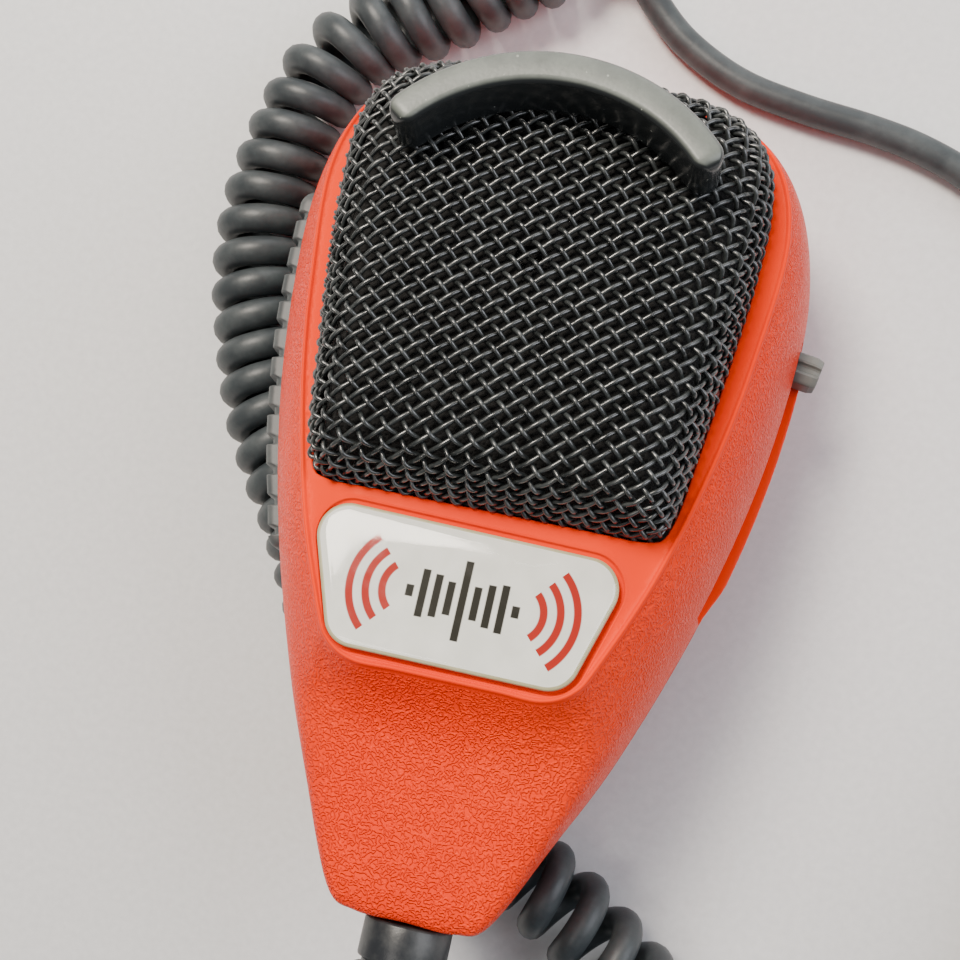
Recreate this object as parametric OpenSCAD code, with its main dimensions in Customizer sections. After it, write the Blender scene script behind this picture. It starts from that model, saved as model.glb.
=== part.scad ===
// Hand microphone: a moulded teardrop housing with a woven wire grille, a lip rest,
// a sprung talk bar on one side, a sliding gain lever on the other and a curly cord.
// Housing frame: x toward the gain lever, y toward the head, z out of the front,
// z = 0 on the back. lay_down() tilts it onto its hang-up button and its own cord.

/* [Housing] */
// Width of the housing at its widest
body_w = 64; // [63:0.5:65]
// Length of the housing from tail to head
body_l = 103.5; // [102:0.5:105]
// Height of the joint between the two shells above the back
parting_z = 10; // [10:0.1:10.2]
// Height of the panel's edge above the back
ridge_z = 26; // [25.8:0.1:26.2]
// Wall thickness of both shells
wall = 2; // [1.8:0.1:2.2]

/* [Grille] */
// Height of the grille's crown above the back
grille_top = 37.8; // [37.4:0.1:38]
// Thickness of the woven wire layer
mesh_t = 0.9; // [0.6:0.1:1]
// Thickness of the wind foam under it
foam_t = 2.4; // [2:0.1:2.6]
// Height of the lip rest above the grille
lip_h = 6.2; // [5:0.2:7]

/* [Talk bar] */
// Pitch of the grip grooves
groove_pitch = 3.65; // [3.5:0.05:3.8]
// Number of grip grooves
grooves = 12; // [10:1:12]

/* [Gain lever] */
// Travel of the gain lever
gain_travel = 30; // [28:1:30]

/* [Cord] */
// Diameter of the cord
cord_d = 3.9; // [3.7:0.1:3.9]
// Outer diameter of the curly stretch
coil_d = 12.8; // [12:0.1:12.8]

/* [Placing] */
// Angle that the cord under the tail lifts the housing by
tilt = 12; // [12:0.1:12.2]
// Height of the housing frame's origin above the table
lift = 10.45; // [10.4:0.05:10.6]
// Shift that centres the microphone over the origin
shift_y = 9.4; // [9.2:0.1:9.6]

/* [Hidden] */
$fn = 48;

kx = body_w / 64;
ky = body_l / 103.5;

// Right halves of the outlines, tail to head: the parting line, the panel's edge
// and the foot of the grille. The left halves mirror them.
rim_half = [for (p = [[0, -51.5], [6, -51.5], [9.6, -49.6], [14.5, -39.8], [19.6, -29], [25.3, -13],
    [29.4, 3], [31.5, 18], [31.8, 31], [29.6, 41], [23, 48.2], [12, 51.4], [0, 52]])
    [p[0] * kx, p[1] * ky]];
ridge_half = [for (p = [[0, -25], [5.5, -25], [11, -24.6], [14, -22.8], [15.9, -20], [20, -9.5],
    [23.8, 4.5], [26, 17.5], [27.2, 31], [25.4, 39.8], [19.6, 45], [10, 47.2], [0, 47.6]])
    [p[0] * kx, p[1] * ky]];
grille_half = [for (p = [[0, -6.5], [10, -6.5], [17.8, -6.3], [20.2, -4], [21.8, 6], [23, 15],
    [24.1, 25], [24.3, 34], [22.2, 40], [16.8, 43.2], [8, 44.4], [0, 44.6]]) [p[0] * kx, p[1] * ky]];
badge_pts = [[17.7, -9.2], [12.5, -23.9], [-12.5, -23.9], [-17.7, -9.2]];
badge_r = 3.5;

// How far each ring of the front shell has moved from the parting line to the panel's
// edge, and its height, beside the head and along the tail.
side_steps = [[0, 10], [0.06, 13.5], [0.22, 17.5], [0.45, 21], [0.74, 24], [1, ridge_z]];
tail_steps = [[0, 10], [0.01, 14], [0.09, 17], [0.66, 19.6], [0.86, 22], [1, ridge_z]];
panel_steps = [[0.7, ridge_z + 0.5], [3, ridge_z + 1.15], [7, ridge_z + 1.5]];
back_steps = [[0, parting_z], [0.06, 5.6], [0.3, 2.8], [0.62, 1], [1, 0]];
grille_steps = [[0, 25.05], [0, 29], [0.1, 33], [0.23, 35.4], [0.46, 36.9], [0.8, grille_top - 0.2],
    [1, grille_top]];

panel_in = ridge_z - 1;
ledge_z = 22.8;
seat_z = 25;

// Talk bar: outer face from foot to head, and its pivot.
bar_out = [[-26.5, -13.6], [-28, -9], [-30.3, -1.8], [-32, 6], [-33.5, 15], [-34.3, 25], [-34.6, 32]];
bar_in = [[-30.4, 32.6], [-30.2, 25], [-29.5, 15], [-28, 6], [-26.3, -1.8], [-24.6, -9], [-23.8, -13]];
bar_face = [for (p = bar_out) [p[1], p[0]]];
bar_z = [5, 14.9];
pivot = [-23.3, -11];
switch_y = 20;
rib_r = 1.2;

// Gain slot: the middle of its chord, and its slant.
slot_mid = [29.4, 6, 12.25];
slot_slant = -10.4;
slot_half = gain_travel / 2 + 3.1;
lever_y = gain_travel / 2;

axis_z = parting_z;
tail_y = -51.5 * ky;
boot_l = 22.5;
inlet_in = 12.5;

button = [0, 20];
button_r = 7;
screw_spots = [[20.5, 38.5], [-20.5, 38.5], [0, -27.5]];
cell = [26.5, 46, 17.5];
cell_y = -17;
cell_z = 4.2;
lip_mid = [1.2, 16.4];
lip_r = 20.9;
lip_half_angle = 49;
lip_pins = [-44, 0, 44];

// Routes on the table, in the placed frame.
lead_route = [[0, -60.5, 35.85], [0, -66.5, 36.6], [-0.5, -74, 36], [-1.5, -81, 32.5],
    [-3, -87.5, 26], [-4.5, -93, 18], [-4, -98, 10.5], [1, -101, 6.6]];
coil_route = [[1, -101, 6.6], [12, -103.5, 6.6], [24, -102.5, 6.6], [35, -97.5, 6.6],
    [43.5, -89, 6.6], [48, -78, 6.6], [46.5, -66.5, 6.6], [39, -56.5, 6.6], [28.5, -49.5, 6.6],
    [16.5, -41, 6.6], [2, -33, 6.6], [-6, -27.5, 6.6], [-13.5, -20.5, 6.6], [-20.5, -11.5, 6.6],
    [-27, 0.8, 6.6], [-31.2, 7.5, 6.6], [-35.7, 15.7, 6.6], [-39.2, 26, 6.6], [-41.2, 34.5, 6.6],
    [-41.6, 43, 6.6], [-40.6, 50, 6.6], [-39, 56.7, 6.6], [-36.8, 62.5, 6.6], [-33, 67.4, 6.6],
    [-28, 71, 6.6], [-21.3, 75, 6.6], [-15.4, 79.3, 6.6], [-9.5, 82.6, 6.6], [-4, 84.5, 6.6]];
tail_route = [[-4, 84.5, 6.6], [1, 84.2, 4.8], [4.5, 80.5, 2.8], [10, 75.5, 2.2], [18, 71.2, 2.2],
    [27, 69, 2.2], [36, 67.6, 2.2], [43, 66, 2.2], [50, 63.2, 2.2], [58.5, 58, 2.2],
    [67, 50.5, 2.2], [74, 41, 2.2], [79.5, 30, 2.6], [82.8, 19, 4.8], [84, 9, 8.2], [84, 1, 9.6]];
plug_at = [84, 1, 9.6];

function lerp(a, b, t) = a + (b - a) * t;
function spline(a, b, c, d, t) =
    0.5 * (2 * b + (c - a) * t + (2 * a - 5 * b + 4 * c - d) * t * t + (3 * b - a - 3 * c + d) * t * t * t);
function loop(half) = concat(half, [for (i = [len(half) - 2:-1:1]) [-half[i][0], half[i][1]]]);
function smooth(p, n = 2) = let (k = len(p))
    [for (i = [0:k - 1], j = [0:n - 1])
        spline(p[(i + k - 1) % k], p[i], p[(i + 1) % k], p[(i + 2) % k], j / n)];
function unit(v) = v / norm(v);
function inset(p, d) = let (k = len(p))
    [for (i = [0:k - 1]) let (t = unit(p[(i + 1) % k] - p[(i + k - 1) % k])) p[i] + d * [-t[1], t[0]]];
function at_z(p, z) = [for (q = p) [q[0], q[1], z]];
function outline(half, d = 0) = smooth(inset(loop(half), d));

rim = loop(rim_half);
ridge = loop(ridge_half);
// 1 where the wall runs out along the tail, 0 beside the head
function tailward(i) = min(1, max(0, (norm(rim[i] - ridge[i]) - 8) / 12));

// One ring of the front shell's wall, moved in by d and lowered by d along the tail
function wall_ring(k, d, top) = let (a = inset(rim, d), b = inset(ridge, d))
    smooth([for (i = [0:len(rim) - 1]) let (w = tailward(i),
        f = lerp(side_steps[k][0], tail_steps[k][0], w),
        z = lerp(side_steps[k][1], tail_steps[k][1] - d, w),
        p = lerp(a[i], b[i], f)) [p[0], p[1], min(z, top)]]);
function back_ring(step, d) = let (a = inset(rim, d), k = step[0])
    smooth([for (p = a) [p[0] * (1 - 0.16 * k), lerp(p[1], 3, 0.1 * k), max(step[1], d)]]);
function grille_in(d) = smooth([for (p = loop(grille_half)) [p[0] * (1 - d / 24), lerp(p[1], 19, d / 25)]]);
function grille_ring(step, d) = let (a = inset(loop(grille_half), d))
    smooth([for (p = a) [p[0] * (1 - 0.5 * step[0]), lerp(p[1], 19, 0.5 * step[0]), step[1]]]);

// A closed skin through rings that each run anticlockwise seen from the last ring
module loft(rings) {
    n = len(rings[0]);
    m = len(rings);
    polyhedron(points = [for (r = rings) each r], faces = concat(
        [[for (i = [0:n - 1]) i], [for (i = [n - 1:-1:0]) (m - 1) * n + i]],
        [for (k = [0:m - 2], i = [0:n - 1]) let (j = (i + 1) % n)
            each [[k * n + i, k * n + n + i, k * n + n + j], [k * n + i, k * n + n + j, k * n + j]]]));
}

// A round tube swept along a route
module tube(route, r, sides) {
    last = len(route) - 1;
    loft([for (i = [0:last])
        let (t = unit(route[min(i + 1, last)] - route[max(i - 1, 0)]),
            s = unit(cross([0, 0, 1], t)), u = cross(t, s))
        [for (j = [0:sides - 1]) let (a = 360 * (j + 0.5) / sides)
            route[i] + r * (cos(a) * s + sin(a) * u)]]);
}

module lay_down() translate([0, shift_y, lift]) rotate([-tilt, 0, 0]) children();
module along_tail() translate([0, tail_y, axis_z]) rotate([90, 0, 0]) children();
module in_slot() translate(slot_mid) rotate([0, 0, slot_slant]) children();
module along_plug() translate(plug_at) rotate([90, 0, 0]) children();
module box(lo, hi) translate(lo) cube(hi - lo);
module post(at, r, z0, z1) translate([at[0], at[1], z0]) cylinder(r = r, h = z1 - z0);
module badge_shape(grow) offset(r = badge_r + grow) offset(delta = -badge_r) polygon(badge_pts);
module turned(profile) rotate_extrude() polygon(profile);

module front_solid() loft(concat([for (k = [0:5]) wall_ring(k, 0, 99)],
    [for (s = panel_steps) smooth(at_z(inset(ridge, s[0]), s[1]))]));
module front_hollow() loft(concat([at_z(wall_ring(0, wall, 99), parting_z - 3)],
    [for (k = [0:5]) wall_ring(k, wall, panel_in - 0.1 * (5 - k))]));
module rear_solid() loft([for (i = [4:-1:0]) back_ring(back_steps[i], 0)]);
module rear_hollow() loft(concat([for (i = [4:-1:0]) let (s = back_steps[i])
    back_ring([s[0], s[1] + wall * (1 - i / 8) * sign(i)], wall)],
    [at_z(back_ring(back_steps[0], wall), parting_z + 1)]));

// The talk bar's mouth, shared by both shells
module bar_mouth() translate([0, 0, bar_z[0] - 0.4]) linear_extrude(bar_z[1] - bar_z[0] + 0.8)
    polygon([[-40, -14.2], [-20.4, -14.2], [-20.4, -7.6], [-24, 34.4], [-40, 34.4]]);

module front_shell() color("orangered") difference() {
    union() {
        difference() {
            front_solid();
            front_hollow();
        }
        intersection() {
            front_solid();
            union() {
                difference() {
                    translate([0, 0, ledge_z]) linear_extrude(seat_z - ledge_z)
                        polygon(outline(grille_half, -3));
                    translate([0, 0, ledge_z - 1]) linear_extrude(5) polygon(grille_in(5));
                }
                for (s = screw_spots) post(s, 3, parting_z, ridge_z);
                post(pivot, 2.3, bar_z[1] + 0.4, ridge_z);
            }
        }
    }
    translate([0, 0, seat_z]) linear_extrude(9) polygon(outline(grille_half, -0.1));
    translate([0, 0, ledge_z - 0.5]) linear_extrude(9) polygon(grille_in(5));
    translate([0, 0, ridge_z + 0.25]) linear_extrude(9) badge_shape(0.9);
    bar_mouth();
    in_slot() box([-6, -slot_half, -3], [6, slot_half, 2.25]);
    along_tail() translate([0, 0, -8]) cylinder(r = 4, h = 20);
    along_tail() translate([0, 0, -8]) cylinder(r = 5.1, h = 6);
    for (s = screw_spots) post(s, 1.25, parting_z - 1, 18.5);
    post(pivot, 1, parting_z, 17);
}

module rear_shell() color("tomato") difference() {
    union() {
        difference() {
            rear_solid();
            rear_hollow();
        }
        for (s = screw_spots) post(s, 3, 1, parting_z);
        intersection() {
            rear_solid();
            union() {
                post(pivot, 2.3, 1, bar_z[0] - 0.4);
                for (x = [-1, 1]) post([5.2 * x, -42], 2, 1, axis_z + 2);
            }
        }
        for (y = [13.5, 26.5]) post([-20, y], 1.1, 1, 13);
        post([-20.4, -3.2], 1.6, 1, 13);
        for (y = [-16, 16]) in_slot() translate([-9, y, 1 - slot_mid[2]]) cylinder(r = 1.6, h = 7);
        for (x = [-9, 9]) post([x, -30], 1.5, 1, 4.5);
        box([-14.6, -12, 1], [-13.4, 5, 8]);
        box([-10, 29.3, 1], [10, 30.6, 9]);
        for (x = [-9, 7]) box([x, -8, 1], [x + 2, 8, cell_z]);
    }
    bar_mouth();
    along_tail() translate([0, 0, -8]) cylinder(r = 4, h = 20);
    along_tail() translate([0, 0, -8]) cylinder(r = 5.1, h = 6);
    for (s = screw_spots) {
        post(s, 1.5, -1, 12);
        post(s, 2.6, -1, 2);
    }
    post(pivot, 1, 2.2, 12);
    post(button, 2.1, -1, 5);
    for (x = [-1, 1]) post([5.2 * x, -42], 0.85, 5, 14);
}

module grille_mesh() color("dimgray") difference() {
    loft([for (s = grille_steps) grille_ring(s, 0)]);
    loft([for (s = grille_steps) grille_ring([s[0], s[1] - (s[0] > 0 ? mesh_t : 0.5)], mesh_t)]);
    for (a = lip_pins) lip_spot(a) cylinder(r = 1.1, h = 20);
}
module grille_frame() color("black") translate([0, 0, seat_z + 0.05]) linear_extrude(1.9) difference() {
    polygon(grille_in(mesh_t + 0.2));
    polygon(grille_in(mesh_t + 2.7));
}
module foam_skin(d, drop, from) loft([for (i = [from:6]) let (s = grille_steps[i])
    grille_ring([s[0], max(s[1] - drop, 27.1)], d)]);
module grille_foam() color("darkslategray") difference() {
    foam_skin(mesh_t + 0.15, mesh_t + 0.15, 1);
    translate([0, 0, -0.1]) foam_skin(mesh_t + foam_t, mesh_t + foam_t, 1);
    for (a = lip_pins) lip_spot(a) cylinder(r = 1.1, h = 20);
}

module lip_spot(a) translate([lip_mid[0], lip_mid[1], 20]) rotate([0, 0, 90 + a])
    translate([lip_r, 0, 0]) children();
module lip_rest() color("slategray") {
    translate([lip_mid[0], lip_mid[1], grille_top + 0.1]) rotate([0, 0, 90 - lip_half_angle])
        rotate_extrude(angle = 2 * lip_half_angle) translate([lip_r, 0]) polygon([[-1.8, 0], [1.8, 0],
            [1.8, lip_h - 0.8], [1, lip_h], [0, lip_h], [-1.1, lip_h - 0.5], [-1.8, lip_h - 1.6]]);
    for (a = [-1, 1]) lip_spot(a * lip_half_angle) translate([0, 0, grille_top + 0.1 - 20])
        translate([0, 0, 0.1]) cylinder(r = 1.6, h = lip_h - 2);
    for (a = lip_pins) lip_spot(a) translate([0, 0, 9.6]) cylinder(r = 1, h = grille_top - 29.4);
}
module lip_rest_nuts() color("silver") for (a = lip_pins) lip_spot(a) translate([0, 0, 9.8]) difference() {
    cylinder(r = 2.1, h = 0.8);
    translate([0, 0, -1]) cylinder(r = 1.02, h = 3);
}

module badge_plate() color("gainsboro") translate([0, 0, ridge_z + 0.3]) linear_extrude(0.9) badge_shape(0);
module badge_dome() color("white", 0.4) translate([0, 0, ridge_z + 1.2]) hull() {
    linear_extrude(0.25) badge_shape(0);
    linear_extrude(0.65) badge_shape(-1.5);
}

module mic_cartridge() color("silver") translate([0, 19, 23]) {
    difference() {
        cylinder(r = 11, h = 7.5);
        for (a = [0:45:315]) rotate([0, 0, a]) translate([6, 0, 6.5]) cylinder(r = 0.9, h = 2);
    }
}
module cartridge_boot() color("dimgray") translate([0, 19, 22.3]) difference() {
    cylinder(r = 12.9, h = 8.7);
    translate([0, 0, 0.7]) cylinder(r = 11, h = 9);
    translate([0, 0, -1]) cylinder(r = 8, h = 3);
}
module cartridge_holder() color("black") translate([0, 0, seat_z + 0.05]) linear_extrude(1.5) difference() {
    polygon(grille_in(3.8));
    translate([0, 19]) circle(r = 13);
    for (x = [-1, 1]) translate([15.5 * x, 2]) circle(r = 1.6);
}

module circuit_board() color("darkgreen") translate([0, 0, 4.5]) linear_extrude(1.6) difference() {
    polygon([[-10.5, -38], [10.5, -38], [15.5, -23.2], [-15.5, -23.2]]);
    translate([0, -27.5]) circle(r = 3.4);
}
module capacitors() color("midnightblue")
    for (p = [[-8, -34.6, 2], [8, -34.6, 2], [-11.6, -26, 2.4], [11.6, -26, 2.4]])
        translate([p[0], p[1], 6.1]) cylinder(r = p[2], h = 3 * p[2]);
module resistors() color("tan") for (p = [[-5.5, -24.9], [5.5, -24.9], [-5.6, -30.4], [5.6, -30.4]])
    translate([p[0] - 1.4, p[1], 7]) rotate([0, 90, 0]) cylinder(r = 0.8, h = 2.8);
module transistors() color("black") for (x = [-1, 1]) translate([3.2 * x, -34.5, 6.1]) intersection() {
    cylinder(r = 1.3, h = 1.6);
    translate([-2, -0.6, 0]) cube([4, 4, 4]);
}
module wire_harness() color("firebrick") {
    tube([[-13.4, -30, 6.6], [-15.2, -24, 8], [-17, -15, 8.6], [-17.2, -4, 8.8], [-17.2, 4, 9],
        [-17, 9.9, 9.2]], 0.5, 6);
    tube([[13.2, -30, 6.6], [14.6, -26, 8], [15.6, -22, 10], [14.3, -17.6, 12]], 0.5, 6);
    tube([[1.2, -38.7, 10], [1.4, -37.4, 10.2], [5.5, -36, 12], [6, -30, 14.5], [6, -25.5, 17.5],
        [6, -21.6, 20.6], [6, -17, 22.25], [6, 5, 22.25]], 0.5, 6);
}

module talk_bar() color("dimgray") difference() {
    union() {
        translate([0, 0, bar_z[0]]) linear_extrude(bar_z[1] - bar_z[0]) polygon(concat(bar_out, bar_in));
        post(pivot, 2.2, bar_z[0], bar_z[1] - 0.3);
        translate([-27.4, switch_y, 7.4]) cylinder(r = rib_r, h = 4);
        box([-30.5, switch_y - 0.9, 7.4], [-27.4, switch_y + 0.9, 11.4]);
    }
    for (i = [0:grooves - 1])
        let (y = 28.5 - i * groove_pitch, x = lookup(y, bar_face), x2 = lookup(y + 1, bar_face))
            translate([x, y, bar_z[0] - 1]) rotate([0, 0, -atan(x2 - x)]) translate([-1, -0.55, 0])
                cube([1.8, 1.1, 12]);
    post(pivot, 1.05, 0, 20);
}
module talk_bar_pin() color("silver") post(pivot, 1, 2.2, 16.6);
module talk_bar_spring() color("silver") translate([0, 0, 7]) linear_extrude(5)
    polygon([[-18.6, -5.4], [-22.2, -5.6], [-26.2, 2.6], [-26.9, 6.6], [-26.5, 6.7], [-25.8, 2.7],
        [-22, -5.2], [-18.6, -5]]);

module talk_switch() color("black") difference() {
    box([-24, switch_y - 9.9, 6.2], [-15.4, switch_y + 9.9, 12.6]);
    for (y = [13.5, 26.5]) post([-20, y], 1.15, 5, 14);
    box([-25, switch_y - 1.6, 8.3], [-19.8, switch_y + 1.6, 10.5]);
}
module switch_plunger() color("red")
    box([-27.4 + rib_r + 0.05, switch_y - 1.5, 8.4], [-22, switch_y + 1.5, 10.4]);

module gain_pot() color("silver") in_slot() difference() {
    box([-12, -22, -4.1], [-6, 22, 4.1]);
    box([-10.5, -19, -1.4], [-5, 19, 1.4]);
}
module gain_lever() color("gray") in_slot() difference() {
    union() {
        box([-10.2, lever_y - 2.6, -1.1], [-6.6, lever_y + 2.6, 1.1]);
        box([-7, lever_y - 1.8, -0.8], [0, lever_y + 1.8, 0.8]);
        box([-1.2, lever_y - 2.3, -1.85], [2.6, lever_y + 2.3, 1.75]);
    }
    translate([-2, lever_y, 1.9]) rotate([0, 90, 0]) cylinder(r = 0.8, h = 6);
}

module battery() color("darkslateblue") {
    box([-cell[0] / 2, cell_y, cell_z], [cell[0] / 2, cell_y + cell[1], cell_z + cell[2]]);
    for (x = [-1, 1]) translate([6.4 * x, cell_y, cell_z + cell[2] / 2]) rotate([90, 0, 0])
        cylinder(r = 3.5 + 0.5 * x, h = 2.4);
}
module battery_snap() color("black") difference() {
    box([-12.6, cell_y - 3.6, 7.5], [12.6, cell_y - 0.15, 18.5]);
    for (x = [-1, 1]) translate([6.4 * x, cell_y, cell_z + cell[2] / 2]) rotate([90, 0, 0])
        translate([0, 0, -1]) cylinder(r = 3.55 + 0.5 * x, h = 3.6);
}

module hang_button() color("silver") translate(button) turned([[0, -5], [button_r - 0.4, -5],
    [button_r, -4.6], [button_r, -2.8], [4, -2.8], [4, 0], [2, 0], [2, 3.95], [0, 3.95]]);
module hang_button_nut() color("silver") translate([button[0], button[1], 2.02]) difference() {
    cylinder(r = 4, h = 1.9, $fn = 6);
    translate([0, 0, -1]) cylinder(r = 2.05, h = 5);
}
module case_screws() color("silver") for (s = screw_spots) translate([s[0], s[1], 0]) difference() {
    turned([[0, 0.4], [2.4, 0.4], [2.4, 1.95], [1.2, 1.95], [1.2, 16.5], [0, 17.5]]);
    for (a = [0, 90]) rotate([0, 0, a]) translate([-1.4, -0.3, -1]) cube([2.8, 0.6, 2]);
}
module cable_clamp() color("gray") difference() {
    box([-7.4, -44, axis_z + 2.02], [7.4, -40, axis_z + 3.2]);
    for (x = [-1, 1]) post([5.2 * x, -42], 1.1, axis_z, axis_z + 5);
}
module clamp_screws() color("silver") for (x = [-1, 1]) translate([5.2 * x, -42, axis_z - 5])
    turned([[0, 0], [0.8, 0.5], [0.8, 8.22], [1.7, 8.22], [1.7, 9.3], [0, 9.3]]);

module strain_relief() color("dimgray") along_tail() difference() {
    turned([[0, -3.9], [4.9, -3.9], [4.9, -2.1], [3.95, -2.1], [3.95, 0.1], [5.1, 0.1], [5.1, 4.6],
        [4.5, 4.6], [4.5, 5.6], [5.4, 5.6], [5.4, 7.3], [4.7, 7.3], [3.1, boot_l], [0, boot_l]]);
    translate([0, 0, -6]) cylinder(d = cord_d + 0.08, h = 40);
    for (i = [0:3]) translate([0, 0, 9.2 + 3.2 * i]) difference() {
        cylinder(r = 9, h = 1.1);
        translate([0, 0, -1]) cylinder(r = 3.7 - 0.25 * i, h = 4);
    }
}
module cord_inlet() color("dimgray") along_tail() translate([0, 0, -inlet_in])
    cylinder(d = cord_d, h = inlet_in + boot_l);
module cord_lead() color("dimgray") tube(lead_route, cord_d / 2, 8);
module cord_coil() color("darkslategray") tube(coil_route, coil_d / 2, 12);
module cord_tail() color("dimgray") tube(tail_route, cord_d / 2, 8);

module plug_boot() color("black") along_plug() turned([[0, 0], [3, 0], [4.6, 9], [4.6, 12], [0, 12]]);
module plug_shell() color("silver") along_plug() difference() {
    turned([[0, 12.02], [6.6, 12.02], [7.6, 13], [7.6, 31], [0, 31]]);
    translate([0, 0, 14]) cylinder(r = 6.3, h = 30);
    translate([0, 0, 18]) rotate([-90, 0, 0]) cylinder(r = 1.05, h = 20);
}
module plug_screw() color("silver") along_plug() translate([0, 0, 18]) rotate([-90, 0, 0])
    translate([0, 0, 4.5]) cylinder(r = 1, h = 4.2);
module plug_insert() color("saddlebrown") along_plug() difference() {
    turned([[0, 27], [6.2, 27], [6.2, 42], [0, 42]]);
    for (a = [45:90:315]) rotate([0, 0, a]) translate([3.4, 0, 20]) cylinder(r = 1.4, h = 40);
}
module plug_contacts() color("gold") along_plug() for (a = [45:90:315]) rotate([0, 0, a])
    translate([3.4, 0, 24]) difference() {
        cylinder(r = 1.35, h = 17.5);
        translate([0, 0, 8]) cylinder(r = 0.9, h = 20);
    }
module coupling_ring() color("silver") along_plug() difference() {
    union() {
        translate([0, 0, 29]) cylinder(r = 9.1, h = 13.5);
        for (a = [0:15:345]) rotate([0, 0, a]) translate([9.1, 0, 30]) cylinder(r = 0.45, h = 11, $fn = 16);
    }
    translate([0, 0, 28]) cylinder(r = 7.66, h = 4);
    translate([0, 0, 31.3]) cylinder(r = 7.2, h = 20);
}

lay_down() front_shell();
lay_down() rear_shell();
lay_down() grille_mesh();
lay_down() grille_frame();
lay_down() grille_foam();
lay_down() lip_rest();
lay_down() lip_rest_nuts();
lay_down() badge_plate();
lay_down() badge_dome();
lay_down() mic_cartridge();
lay_down() cartridge_boot();
lay_down() cartridge_holder();
lay_down() circuit_board();
lay_down() capacitors();
lay_down() resistors();
lay_down() transistors();
lay_down() wire_harness();
lay_down() talk_bar();
lay_down() talk_bar_pin();
lay_down() talk_bar_spring();
lay_down() talk_switch();
lay_down() switch_plunger();
lay_down() gain_pot();
lay_down() gain_lever();
lay_down() battery();
lay_down() battery_snap();
lay_down() hang_button();
lay_down() hang_button_nut();
lay_down() case_screws();
lay_down() cable_clamp();
lay_down() clamp_screws();
lay_down() strain_relief();
lay_down() cord_inlet();
cord_lead();
cord_coil();
cord_tail();
plug_boot();
plug_shell();
plug_screw();
plug_insert();
plug_contacts();
coupling_ring();
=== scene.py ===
import math
import bpy
import bmesh
import numpy as np
from mathutils import Matrix, Vector
from mathutils.geometry import delaunay_2d_cdt


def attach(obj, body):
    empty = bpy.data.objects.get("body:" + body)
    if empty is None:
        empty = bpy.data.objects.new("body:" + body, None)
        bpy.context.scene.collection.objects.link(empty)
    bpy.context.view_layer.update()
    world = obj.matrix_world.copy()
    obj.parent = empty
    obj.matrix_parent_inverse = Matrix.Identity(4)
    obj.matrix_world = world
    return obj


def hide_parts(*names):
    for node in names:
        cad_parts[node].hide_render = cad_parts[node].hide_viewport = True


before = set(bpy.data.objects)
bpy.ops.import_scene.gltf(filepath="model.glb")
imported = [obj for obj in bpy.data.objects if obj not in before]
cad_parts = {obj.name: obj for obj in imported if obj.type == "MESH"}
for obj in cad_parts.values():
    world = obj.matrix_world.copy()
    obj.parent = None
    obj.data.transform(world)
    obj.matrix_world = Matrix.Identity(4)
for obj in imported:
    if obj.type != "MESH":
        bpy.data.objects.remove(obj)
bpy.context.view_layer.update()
print("stage: frame loaded")

# how the housing lies on the table, in degrees and millimetres
lying = {"tilt": 12.0, "lift": 10.45, "shift": 9.4}
lieCos = math.cos(math.radians(lying["tilt"]))
lieSin = math.sin(math.radians(lying["tilt"]))
lieMatrix = np.array([[1, 0, 0], [0, lieCos, lieSin], [0, -lieSin, lieCos]])


# housing millimetres to frame metres
def laid(points):
    p = np.asarray(points, float) @ lieMatrix.T
    return (p + [0, lying["shift"], lying["lift"]]) / 1000


# right halves of the housing's outlines, tail to head, and profiles as (share inward, height)
rimHalf = [(0, -51.5), (5.7, -51.5), (9.2, -49.7), (14.3, -39.8), (19.5, -29), (25.3, -13), (29.4, 3),
           (31.5, 18), (31.6, 30), (28.7, 39.8), (22.3, 46.6), (12, 50.1), (0, 50.9)]
ridgeHalf = [(0, -25.3), (5.5, -25.3), (10.4, -25.3), (13.6, -23.7), (15.6, -20.4), (19.9, -9.8),
             (23.8, 4.5), (26, 17.5), (27.1, 30.2), (24.9, 38.8), (19.3, 43.9), (10, 46.3), (0, 46.7)]
grilleHalf = [(0, -6.5), (10, -6.5), (17.8, -6.3), (20.2, -4), (21.8, 6), (23, 15), (24.1, 25),
              (24.3, 34), (22.2, 40), (16.8, 43.2), (8, 44.4), (0, 44.6)]
sideSteps = [(0, 10), (0.06, 13.5), (0.22, 17.5), (0.45, 21), (0.74, 24), (1, 26)]
tailSteps = [(0, 10), (0.01, 14), (0.09, 17), (0.66, 19.6), (0.86, 22), (1, 26)]
backSteps = [(0, 10), (0.06, 5.6), (0.3, 2.8), (0.62, 1), (1, 0)]
grilleSteps = [(0, 25.05), (0, 29), (0.1, 33), (0.23, 35.4), (0.46, 36.9), (0.8, 37.6), (1, 37.8)]
badgeCorners = [(17.3, -9.2), (12.7, -24.0), (-13.3, -23.9), (-18.8, -8.4)]


# points on the Catmull-Rom curve through p at the parameters t
def spline(p, t, closed=False):
    p = np.asarray(p, float)
    t = np.asarray(t, float)
    n = len(p)
    k = np.floor(t).astype(int)
    if not closed:
        k = np.clip(k, 0, n - 2)
    f = (t - k)[:, None]
    pick = (lambda i: p[i % n]) if closed else (lambda i: p[np.clip(i, 0, n - 1)])
    a, b, c, d = pick(k - 1), pick(k), pick(k + 1), pick(k + 2)
    return 0.5 * (2 * b + (c - a) * f + (2 * a - 5 * b + 4 * c - d) * f ** 2 + (3 * b - a - 3 * c + d)
                  * f ** 3)


# a whole outline from its right half
def loop(half):
    return np.array(list(half) + [(-x, y) for x, y in half[-2:0:-1]], float)


# a closed anticlockwise outline moved inward by d
def inset(p, d):
    t = np.roll(p, -1, 0) - np.roll(p, 1, 0)
    t /= np.linalg.norm(t, axis=1)[:, None]
    return p + d * np.stack([-t[:, 1], t[:, 0]], 1)


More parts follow.
